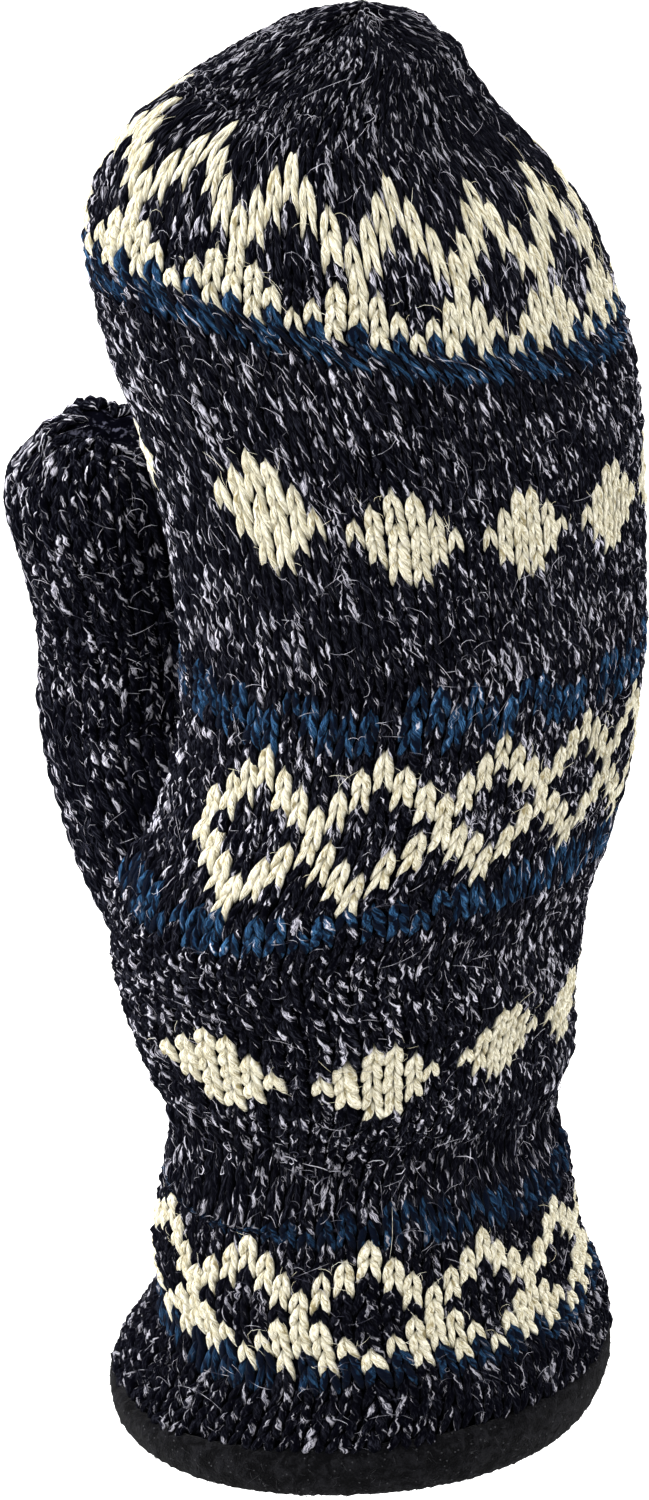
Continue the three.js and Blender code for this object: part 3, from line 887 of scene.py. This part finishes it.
def marl_material(name, looks, sheen, on_thumb):
    """Marled wool with painted shade: on the thumb beside the hand; elsewhere in the elastic row's gathers
    and down the cuff, with a darker crown.
    """
    material, tree, shader = new_material(name)
    tones = (looks.heather_dark, looks.heather_fibre, looks.heather_shade, looks.heather_fleck)
    values = {label: (*tone, 1) for label, tone in zip(("Dark", "Fibre", "Shade", "Fleck"), tones)}
    edge = 0.80 - looks.fleck_share
    values |= {"Pale from": edge, "Pale to": edge + 0.06}
    marl = node(tree, "ShaderNodeGroup", values, node_tree=marl_group()).outputs
    # The mask below is painted shade beside the thumb, in the elastic row's gathers and down the cuff, and a
    # darker crown; it is mixed towards the dark ply
    worn = painted_shade_and_dark_crown(tree, axes_of(tree, own_place(tree)), marl["Patch"], on_thumb)
    colour = blended(tree, maths(tree, "MULTIPLY", worn, 0.6), marl["Colour"], looks.heather_dark)
    coat(tree, shader, colour, 0.92, sheen, 0.4, looks.heather_sheen)
    relief(tree, shader, marl["Height"], 0.9, 0.0005)
    return material


def purl_material(name, looks):
    """The inside of the knitting, and the dark ground seen between the stitches outside: rows of small
    bumps, the sine of the height times the cosine of the angle, with fine grain."""
    material, tree, shader = new_material(name)
    place = own_place(tree)
    x, y, z = axes_of(tree, place)
    row = maths(tree, "MULTIPLY", z, 2 * np.pi / PURL_ROW)
    column = maths(tree, "MULTIPLY", maths(tree, "ARCTAN2", y, x), PURL_ROUND)
    bumps = maths(tree, "MULTIPLY", maths(tree, "SINE", row), maths(tree, "COSINE", column))
    grain = noise(tree, place, 900.0, 3.0)
    fleck = ranged(tree, maths(tree, "MULTIPLY_ADD", bumps, 0.12, grain), 0.56, 0.70)
    coat(tree, shader, blended(tree, fleck, looks.heather_dark, looks.heather_shade), 0.95)
    relief(tree, shader, maths(tree, "MULTIPLY_ADD", bumps, 0.6, grain), 0.7, 0.0006)
    return material


def fleece_material(name, looks):
    """Brushed fleece: matted tufts of two sizes, with painted light on their tops and painted shade between
    them, and pale specks.
    """
    material, tree, shader = new_material(name)
    place = own_place(tree)
    tuft = noise(tree, place, 420.0, 4.0, Distortion=0.8)
    nap = noise(tree, place, 2600.0, 2.0)
    both = maths(tree, "MULTIPLY_ADD", nap, 0.5, tuft)
    # painted light on the tufts' tops and painted shade between them, from the same height as the relief
    colour = blended(tree, ranged(tree, both, 0.62, 1.0), looks.fleece_shade, looks.fleece_light)
    speck = node(tree, "ShaderNodeTexVoronoi", {"Vector": place, "Scale": 760.0}).outputs["Distance"]
    colour = blended(tree, ranged(tree, speck, 0.20, 0.08), colour, looks.fleece_speck)
    coat(tree, shader, colour, 1.0, 0.03, 0.6)
    relief(tree, shader, both, 0.9, 0.0006)
    return material


def fibre_material(name, colour, dim):
    """Loose fibres: pale, uneven along the mitten."""
    material, tree, shader = new_material(name)
    grain = noise(tree, own_place(tree), 300.0, 1.0)
    coat(tree, shader, blended(tree, ranged(tree, grain, 0.4, 0.62), dim, colour), 0.7)
    return material


def material(name):
    """The named material, built when it is first asked for."""
    looks = bpy.context.scene.mitten_looks
    makers = {
        "marl_yarn": (marl_material, looks, 0.012, False),
        # the thumb's copy of the marl has painted shade on its side next to the hand, and less sheen
        "thumb_marl_yarn": (marl_material, looks, 0.004, True),
        "cream_yarn": (cream_material, looks),
        "blue_yarn": (blue_material, looks),
        "purl_side": (purl_material, looks),
        "brushed_fleece": (fleece_material, looks),
        "loose_wool": (fibre_material, looks.heather_fleck, looks.heather_shade),
        "loose_cream": (fibre_material, looks.cream_light, looks.cream),
        "loose_pile": (fibre_material, looks.fleece_speck, looks.fleece_light),
    }
    if name not in bpy.data.materials:
        maker, *values = makers[name]
        maker(name, *values)
    return bpy.data.materials[name]


# Settings


def number(name, description, default, **settings):
    """A plain number, or one with the unit or subtype that its settings give."""
    return bpy.props.FloatProperty(name=name, description=description, default=default, **settings)


def length(name, description, default):
    """A length in metres that the sidebar shows with its unit."""
    return number(name, description, default, min=0.0, unit="LENGTH", precision=4)


def whole_number(name, description, default):
    """A number of things."""
    return bpy.props.IntProperty(name=name, description=description, default=default, min=0)


def tint(name, description, default):
    """A linear colour."""
    return bpy.props.FloatVectorProperty(
        name=name, description=description, default=default, size=3, min=0.0, max=1.0, subtype="COLOR"
    )


class MITTEN_PG_sizes(bpy.types.PropertyGroup):
    """Sizes of the mitten, the same as the CAD part's."""

    cuff_length: length("Cuff length", "Mouth to the elastic row", 0.066)
    hand_length: length("Hand length", "Elastic row to the gathered tip", 0.230)
    thumb_length: length("Thumb length", "Hidden root to the thumb's tip", 0.116)
    cuff_width: length("Cuff width", "Cuff from side to side", 0.096)
    cuff_depth: length("Cuff depth", "Cuff from front to back", 0.093)
    wrist_width: length("Wrist width", "Wrist from side to side", 0.077)
    wrist_depth: length("Wrist depth", "Wrist from front to back", 0.060)
    palm_width: length("Palm width", "Palm from side to side", 0.0925)
    palm_depth: length("Palm depth", "Palm from front to back", 0.075)
    knuckle_width: length("Knuckle width", "Knuckles from side to side", 0.0895)
    knuckle_depth: length("Knuckle depth", "Knuckles from front to back", 0.069)
    finger_width: length("Finger width", "Fingers from side to side", 0.0995)
    finger_depth: length("Finger depth", "Fingers from front to back", 0.061)
    thumb_width: length("Thumb width", "Thumb from side to side", 0.042)
    thumb_depth: length("Thumb depth", "Thumb from front to back", 0.036)
    thumb_root: number("Thumb root", "Height of the thumb's root as a share of the hand", 0.115, min=0.0)
    squareness: number("Squareness", "2 gives elliptical outlines, more gives squarer ones", 2.2, min=1.5)
    sway: length("Sway", "How far the hand leans away from the thumb", 0.0105)
    bow: length("Bow", "How far the fingertips bend to the palm", 0.009)
    knit_wall: length("Knit wall", "Thickness of the knitting", 0.0045)
    tip_wall: length("Tip wall", "Thickness of the gathered tip", 0.0065)
    fleece_wall: length("Fleece wall", "Thickness of the fleece", 0.0016)
    seat_gap: length("Seat gap", "Clearance between pieces", 0.0003)
    hem_height: length("Hem height", "Middle height of the hem's outer leg", 0.0076)
    hem_rise: length("Hem rise", "How much the hem's height varies round the mouth", 0.0039)
    hem_turn: number(
        "Hem turn", "Where the hem is tallest, between little finger and hand's back", 0.7, subtype="ANGLE"
    )
    hem_inside: length("Hem inside", "Height of the hem's inner leg", 0.013)
    hem_floor: length("Hem floor", "Thickness of the fold under the knit", 0.0022)
    hem_rounding: length("Hem rounding", "Height over which the fold rounds off", 0.0027)
    mouth_rise: length("Mouth rise", "How much the mouth's edge rises to the little finger", 0.005)
    tip_fold_depth: length("Tip folds", "Depth of the folds round the tip", 0.0028)
    tip_fold_turn: number("Tip fold turn", "Where the folds stand round the tip", 1.4, subtype="ANGLE")
    tip_flat: length("Tip flat", "How far short of a point the tip ends", 0.0006)
    thumb_fold_depth: length("Thumb folds", "Depth of the folds round the thumb's tip", 0.0016)
    wrist_fold_depth: length("Wrist folds", "Depth of the gathers at the elastic", 0.0007)
    wrist_fold_reach: length("Wrist fold reach", "How far the gathers reach from the elastic", 0.009)
    stitch_level: length("Stitch level", "How deep the stitches' middle lines lie under the skin", 0.0008)
    ground_level: length("Ground level", "How deep the dark ground lies under the skin", 0.0015)
    fibre_radius: length("Fibre radius", "Half thickness of a loose fibre", 0.000034)
    fibre_count: whole_number("Fibres", "Loose fibres all over the mitten", 4000)
    pile_count: whole_number("Pile fibres", "Short fibres that stand on the fleece edge", 1300)


class MITTEN_PG_looks(bpy.types.PropertyGroup):
    """Colours of the yarns and the fleece."""

    heather_dark: tint("Heather dark", "The marl's dark ply", (0.0012, 0.0012, 0.0025))
    heather_fibre: tint("Heather fibre", "Fibres on the dark ply", (0.024, 0.025, 0.036))
    heather_shade: tint("Fleck shade", "The pale ply in its folds", (0.050, 0.050, 0.072))
    heather_fleck: tint("Fleck", "The marl's pale ply", (0.60, 0.585, 0.66))
    cream: tint("Cream", "Body of the cream yarn", (0.66, 0.61, 0.44))
    cream_light: tint("Cream light", "Fibres on the cream yarn", (0.92, 0.89, 0.76))
    cream_shadow: tint("Cream shadow", "Grooves of the cream yarn", (0.30, 0.25, 0.13))
    blue: tint("Blue", "Body of the blue yarn", (0.0075, 0.027, 0.070))
    blue_light: tint("Blue light", "Fibres on the blue yarn", (0.050, 0.150, 0.30))
    blue_shadow: tint("Blue shadow", "Grooves of the blue yarn", (0.0020, 0.0035, 0.009))
    fleece_shade: tint("Fleece shade", "Between the fleece's tufts", (0.0010, 0.0010, 0.0014))
    fleece_light: tint("Fleece light", "Tops of the fleece's tufts", (0.0075, 0.0075, 0.0090))
    fleece_speck: tint("Fleece specks", "Pale fibres in the fleece", (0.030, 0.030, 0.033))
    heather_sheen: tint("Heather sheen", "Soft shine along the marl's edges", (0.72, 0.74, 0.85))
    paper: tint("Paper", "The pale floor under the mitten", (0.93, 0.93, 0.93))
    fleck_share: number("Fleck share", "How much of the marl is pale", 0.05, min=-0.2, max=0.3)


def shapes():
    """The hand's and the thumb's shape at the present sizes."""
    sizes = bpy.context.scene.mitten_sizes
    return sizes, HandShape(sizes), ThumbShape(sizes)


def shown_stitches():
    """The hand's and the thumb's cloth, each with the stitches that can be seen and their middles."""
    _, hand, thumb = shapes()
    hand_cloth, thumb_cloth = HandCloth(hand), ThumbCloth(thumb)
    stitches = hand_cloth.stitches()
    centre = hand_cloth.point(stitches[:, 0], stitches[:, 1])
    angle = hand.angle_of(stitches[:, 0], centre[:, 2])
    shown = centre[:, 2] > hand.hem_line(angle) + HEM_COVER
    shown &= ~thumb.holds(centre, HIDDEN_IN_THUMB)
    on_thumb = thumb_cloth.stitches()
    clear = ~hand.holds(thumb_cloth.point(on_thumb[:, 0], on_thumb[:, 1]), HIDDEN_IN_HAND)
    return hand_cloth, stitches[shown], centre[shown], thumb_cloth, on_thumb[clear]


def leg_mesh(name, cloth, stitches, level, seed):
    """A mesh of the yarn legs of chosen stitches, at a level over the skin."""
    rings, ends = leg_tubes(cloth, stitches, level, np.random.default_rng(seed))
    return tube_mesh(name, rings, ends, [leg[0] for leg in LEG], LEG_LENGTH)


def fibre_lines(cloth, stitches, count, reach, bend, lift, rng):
    """Lines of five points that start at chosen stitches and wander over the cloth: the heading turns
    evenly along the way, and the height over the cloth swells and falls as half a sine."""
    pick = rng.integers(0, len(stitches), count)
    share, row, around = (stitches[pick, k, None] for k in range(3))
    t = np.linspace(0, 1, 5)[None]
    heading = rng.normal(np.pi / 2, 0.9, (count, 1)) + rng.normal(0, 1, (count, 1)) * bend * t
    step = rng.gamma(3, reach / 3, (count, 1)) / 4
    across = rng.uniform(-0.5, 0.5, (count, 1)) + np.cumsum(np.cos(heading) * step, axis=1)
    up = rng.uniform(-0.5, 0.5, (count, 1)) + np.cumsum(np.sin(heading) * step, axis=1)
    height = FIBRE_LOW + rng.uniform(0.2, 1.0, (count, 1)) * lift * np.sin(np.pi * t) ** 0.7

    def place(a, b):
        return cloth.point(share + (across + a) / around, row + up + b)

    normal = unit(np.cross(place(0.1, 0) - place(-0.1, 0), place(0, 0.1) - place(0, -0.1)))
    return place(0, 0) + normal * height[..., None]


def pile_lines(grid, count, reach, rng):
    """Lines of five points that start on a grid of points (round, profile, 3) and curl away from it: each
    leaves along the outward direction and bends over to a random side by the square of the way along."""
    turns, size = grid.shape[:2]
    i, j = rng.integers(0, turns, count), rng.integers(0, size - 1, count)
    share = rng.uniform(0, 1, (count, 1))
    start = grid[i, j] * (1 - share) + grid[i, j + 1] * share
    out = unit(np.cross(grid[(i + 1) % turns, j] - grid[i, j], grid[i, j + 1] - grid[i, j]))
    bend = unit(rng.normal(0, 1, (count, 3)) + [0, 0, -0.3])
    t = np.linspace(0, 1, 5)[None, :, None]
    length = reach * rng.gamma(4, 0.25, (count, 1, 1))
    return start[:, None] + out[:, None] * length * t * (1 - 0.6 * t) + bend[:, None] * length * t * t


def fibre_mesh(name, line, radius):
    """Thin closed tubes with three sides along lines (number, point, 3), thinner at both ends."""
    along = unit(np.gradient(line, axis=1))
    side = unit(np.cross(along, [0.13, 0.21, 0.97]))
    other = np.cross(along, side)
    turn = turns(3)[None, None, :, None]
    round_part = side[:, :, None] * np.cos(turn) + other[:, :, None] * np.sin(turn)
    rings = line[:, :, None] + round_part * (radius * np.array(FIBRE_GIRTH))[None, :, None, None]
    tips = np.stack([line[:, 0] - along[:, 0] * radius, line[:, -1] + along[:, -1] * radius], 1)
    return tube_mesh(name, rings, tips, np.linspace(0.02, 0.98, len(FIBRE_GIRTH)), FIBRE_LENGTH)


# Pieces


class MITTEN_OT_hand_cloth(bpy.types.Operator):
    """Make the hand's ground: the dark cloth under the stitches and the purl side within, as one cup with
    a passage to the thumb"""

    bl_idname = "mitten.hand_cloth"
    bl_label = "Hand cloth"

    def execute(self, context):
        s, hand, thumb = shapes()
        angle = turns(96)
        lip = hand.mouth(hand.skin(angle, 0 * angle)[:, 0]) + s.hem_floor + s.seat_gap
        down = np.linspace(0.985, 0, 60)[:, None]
        height = lip + (hand.top - s.tip_wall - lip) * down
        inside = hand.pushed(angle, height, -s.knit_wall - s.ground_level * 0.4)
        up = np.linspace(0, 1, 110)[:, None]
        height = lip + (hand.top - lip) * (up + 0.08 * np.sin(np.pi * up) * up)
        over_hem = smooth(0.002, 0.006, height - hand.hem_line(angle))
        under_hem = s.fleece_wall + 2 * s.seat_gap
        outside = hand.pushed(angle, height, -under_hem * (1 - over_hem) - s.ground_level * over_hem)
        inner_pole = inside[0].mean(0) + np.array([0, 0, 0.0004])
        mesh = closed_mesh("hand_cloth", np.concatenate([inside, outside]), inner_pole, outside[-1].mean(0))
        piece = add_piece("hand_cloth", mesh, "purl_side", HAND_CAD)
        around = turns(40)
        hollow = thumb.pushed(around, np.linspace(0, thumb.last, 40)[:, None] + 0 * around, -s.knit_wall)
        root, tip = thumb.axis(np.array([0.0, thumb.last])) - [[0, 0, 0], [0, 0, s.knit_wall]]
        cut_away(piece, closed_mesh("passage", hollow, root, tip))
        return {"FINISHED"}


class MITTEN_OT_thumb_cloth(bpy.types.Operator):
    """Make the thumb's ground as a cup, trimmed where it meets the hand"""

    bl_idname = "mitten.thumb_cloth"
    bl_label = "Thumb cloth"

    def execute(self, context):
        s, hand, thumb = shapes()
        angle = turns(64)
        down = np.linspace(thumb.last - 0.75, 0, 30)[:, None] + 0 * angle
        up = np.linspace(0, thumb.last, 60)[:, None] + 0 * angle
        inside, outside = thumb.pushed(angle, down, -s.knit_wall), thumb.pushed(angle, up, -s.ground_level)
        rings = np.concatenate([inside, outside])
        mesh = closed_mesh("thumb_cloth", rings, rings[0].mean(0), rings[-1].mean(0))
        piece = add_piece("thumb_cloth", mesh, "purl_side", THUMB_CAD)
        around = turns(96)
        body = hand.pushed(around, np.linspace(0.06, 0.28, 70)[:, None] + 0 * around, -0.001)
        cut_away(piece, closed_mesh("trim", body, body[0].mean(0), body[-1].mean(0)))
        return {"FINISHED"}


class MITTEN_OT_hand_stitches(bpy.types.Operator):
    """Knit the hand: every stitch as two yarn legs, in one piece for each colour and stretch"""

    bl_idname = "mitten.hand_stitches"
    bl_label = "Hand stitches"

    def execute(self, context):
        s = context.scene.mitten_sizes
        cloth, stitches, centre, _, _ = shown_stitches()
        stretch = np.digitize(centre[:, 2], STRETCHES)
        ground = stitches[:, 3] == 0
        pieces = {
            "heather_cuff": (ground & (stretch == 0), "marl_yarn"),
            "heather_palm": (ground & (stretch == 1), "marl_yarn"),
            "heather_fingers": (ground & (stretch == 2), "marl_yarn"),
            "heather_crown": (ground & (stretch == 3), "marl_yarn"),
            "cream_motifs": (stitches[:, 3] == 1, "cream_yarn"),
            "blue_rows": (stitches[:, 3] == 2, "blue_yarn"),
        }
        for seed, (name, (chosen, look)) in enumerate(pieces.items(), 20):
            mesh = leg_mesh(name, cloth, stitches[chosen], -s.stitch_level, seed)
            add_piece(name, mesh, look, HAND_CAD)
        return {"FINISHED"}


class MITTEN_OT_thumb_stitches(bpy.types.Operator):
    """Knit the thumb, down to where it meets the hand"""

    bl_idname = "mitten.thumb_stitches"
    bl_label = "Thumb stitches"

    def execute(self, context):
        s = context.scene.mitten_sizes
        _, _, _, cloth, stitches = shown_stitches()
        mesh = leg_mesh("heather_thumb", cloth, stitches, -s.stitch_level, 31)
        add_piece("heather_thumb", mesh, "thumb_marl_yarn", THUMB_CAD)
        return {"FINISHED"}


class MITTEN_OT_hem(bpy.types.Operator):
    """Make the fleece hem: one folded strip carried round the mouth, with a soft uneven edge"""

    bl_idname = "mitten.hem"
    bl_label = "Fleece hem"

    def execute(self, context):
        s, hand, _ = shapes()
        rng = np.random.default_rng(5)
        angle = turns(420)
        mouth = hand.mouth(hand.skin(angle, 0 * angle)[:, 0])
        wall, floor, inner, fold = s.fleece_wall, s.hem_floor, s.hem_inside, s.hem_rounding
        slot = s.knit_wall + s.seat_gap
        total = slot + wall
        top = hand.hem_line(angle) - mouth + HEM_COVER
        swell, nap, ripple = 0.0004, 0.00011, 0.0005
        # inset from the skin and height over the mouth's edge: down the knit's side of the outer leg, up
        # and over the inner leg, round the fold and up the outer leg
        profile = [(0.35 * wall, top + 0.0002)]
        profile += [(wall, floor + (top - floor) * k) for k in (0.97, 0.6, 0.25, 0.0)]
        profile += [(slot, floor + (inner - floor) * k) for k in (0.0, 0.5, 0.97)]
        profile += [(slot + 0.5 * wall, inner + swell)]
        profile += [(total, inner * k) for k in (0.95, 0.7, 0.45)]
        seen = len(profile)
        corner = np.linspace(0, np.pi, 9)[1:-1]
        profile += [(total / 2 * (1 + np.cos(c)) - swell, fold * (1 - np.sin(c))) for c in corner]
        leg = (0.0, 0.25, 0.5, 0.75, 0.93)
        profile += [(-swell - swell * np.sin(np.pi * k), fold + (top - fold) * k) for k in leg]
        inset = np.array([place for place, _ in profile])[:, None, None]
        height = mouth + np.stack([rise + 0 * angle for _, rise in profile])
        grid = hand.skin(angle, height) - unit(hand.outward(angle, height) * [1, 1, 0]) * inset
        grid = grid.transpose(1, 0, 2)
        waves = rng.uniform(0, 2 * np.pi, 6)
        uneven = sum(np.sin(n * angle + w) for n, w in zip((7, 11, 17, 29, 43, 61), waves)) / 6
        rough = np.where(np.arange(len(profile)) < seen, 0.35, 1.0)
        grid = grid + nap * rng.normal(0, 1, grid.shape) * rough[None, :, None]
        grid[:, -len(leg):, 2] += (ripple * uneven)[:, None] * np.linspace(0, 1, len(leg))[None]
        mesh = ring_mesh("fleece_edge", grid[:, ::-1])
        add_piece("fleece_edge", mesh, "brushed_fleece", HEM_CAD)
        line = pile_lines(grid[:, seen:], s.pile_count, PILE_REACH, rng)
        mesh = fibre_mesh("fleece_pile", line, 1.2 * s.fibre_radius)
        add_piece("fleece_pile", mesh, "loose_pile", HEM_CAD)
        return {"FINISHED"}


class MITTEN_OT_fibres(bpy.types.Operator):
    """Lay loose wool fibres over the hand and the thumb, with small curls of yarn at the elastic row"""

    bl_idname = "mitten.fibres"
    bl_label = "Loose fibres"

    def execute(self, context):
        s = context.scene.mitten_sizes
        rng = np.random.default_rng(11)
        cloth, stitches, centre, thumb_cloth, on_thumb = shown_stitches()
        cream = stitches[:, 3] == 1
        elastic = np.abs(centre[:, 2] - s.cuff_length) < ELASTIC_HALF
        grounds = {
            "fibres_heather": (cloth, stitches[~cream], HAND_CAD),
            "fibres_cream": (cloth, stitches[cream], HAND_CAD),
            "fibres_thumb": (thumb_cloth, on_thumb, THUMB_CAD),
            "curls_elastic": (cloth, stitches[elastic], HAND_CAD),
        }
        for name, (share, reach, bend, lift, girth, look) in FIBRES.items():
            on, chosen, cad = grounds[name]
            line = fibre_lines(on, chosen, int(s.fibre_count * share), reach, bend, lift, rng)
            mesh = fibre_mesh(name, line, s.fibre_radius * girth)
            add_piece(name, mesh, look, cad)
        return {"FINISHED"}


class MITTEN_OT_stage(bpy.types.Operator):
    """Set the camera, the soft lights and the pale floor"""

    bl_idname = "mitten.stage"
    bl_label = "Camera, lights and floor"

    def execute(self, context):
        scene = context.scene
        camera = aimed("camera", bpy.data.cameras.new("camera"), CAMERA_PLACE, CAMERA_AIM)
        camera.data.lens, camera.data.sensor_width = CAMERA_LENS, CAMERA_SENSOR
        scene.camera = camera
        floor = bpy.data.meshes.new("floor")
        half, down = FLOOR_HALF, FLOOR_HEIGHT
        corners = [(-half, -half, down), (half, -half, down), (half, half, down), (-half, half, down)]
        floor.from_pydata(corners, [], [(0, 1, 2, 3)])
        stage = bpy.data.objects.new("floor", floor)
        scene.collection.objects.link(stage)
        paper, tree, shader = new_material("pale_paper")
        coat(tree, shader, (*scene.mitten_looks.paper, 1), 0.9)
        floor.materials.append(paper)
        for name, (place, aim, width, tall, power) in LIGHTS.items():
            light = bpy.data.lights.new(name, "AREA")
            light.shape, light.size, light.size_y, light.energy = "RECTANGLE", width, tall, power
            aimed(name, light, place, aim)
        world = bpy.data.worlds.new("studio")
        world.use_nodes = True
        air = world.node_tree
        plug(air, air.nodes["Background"], {"Color": (1, 1, 1, 1), "Strength": WORLD_STRENGTH})
        scene.world = world
        scene.view_settings.view_transform = "Standard"
        return {"FINISHED"}


class MITTEN_PT_panel(bpy.types.Panel):
    """Lists the mitten's sizes, colours and pieces"""

    bl_idname = "MITTEN_PT_panel"
    bl_label = "Mitten"
    bl_space_type = "VIEW_3D"
    bl_region_type = "UI"
    bl_category = "Mitten"

    def draw(self, context):
        for group in (context.scene.mitten_sizes, context.scene.mitten_looks):
            box = self.layout.box()
            for key in group.__annotations__:
                box.prop(group, key)
        for operator in OPERATORS:
            self.layout.operator(operator.bl_idname)


OPERATORS = (
    MITTEN_OT_stage,
    MITTEN_OT_hand_cloth,
    MITTEN_OT_thumb_cloth,
    MITTEN_OT_hem,
    MITTEN_OT_hand_stitches,
    MITTEN_OT_thumb_stitches,
    MITTEN_OT_fibres,
)
CLASSES = (MITTEN_PG_sizes, MITTEN_PG_looks, *OPERATORS, MITTEN_PT_panel)


def register():
    """Registers the classes and hangs the settings on the scene."""
    for item in CLASSES:
        bpy.utils.register_class(item)
    bpy.types.Scene.mitten_sizes = bpy.props.PointerProperty(type=MITTEN_PG_sizes)
    bpy.types.Scene.mitten_looks = bpy.props.PointerProperty(type=MITTEN_PG_looks)


def unregister():
    """Takes the settings and the classes away again."""
    del bpy.types.Scene.mitten_looks
    del bpy.types.Scene.mitten_sizes
    for item in reversed(CLASSES):
        bpy.utils.unregister_class(item)


def main():
    """Builds every piece in order."""
    register()
    bpy.ops.mitten.stage()
    bpy.ops.mitten.hand_cloth()
    bpy.ops.mitten.thumb_cloth()
    bpy.ops.mitten.hem()
    bpy.ops.mitten.hand_stitches()
    bpy.ops.mitten.thumb_stitches()
    bpy.ops.mitten.fibres()


if __name__ == "__main__":
    main()
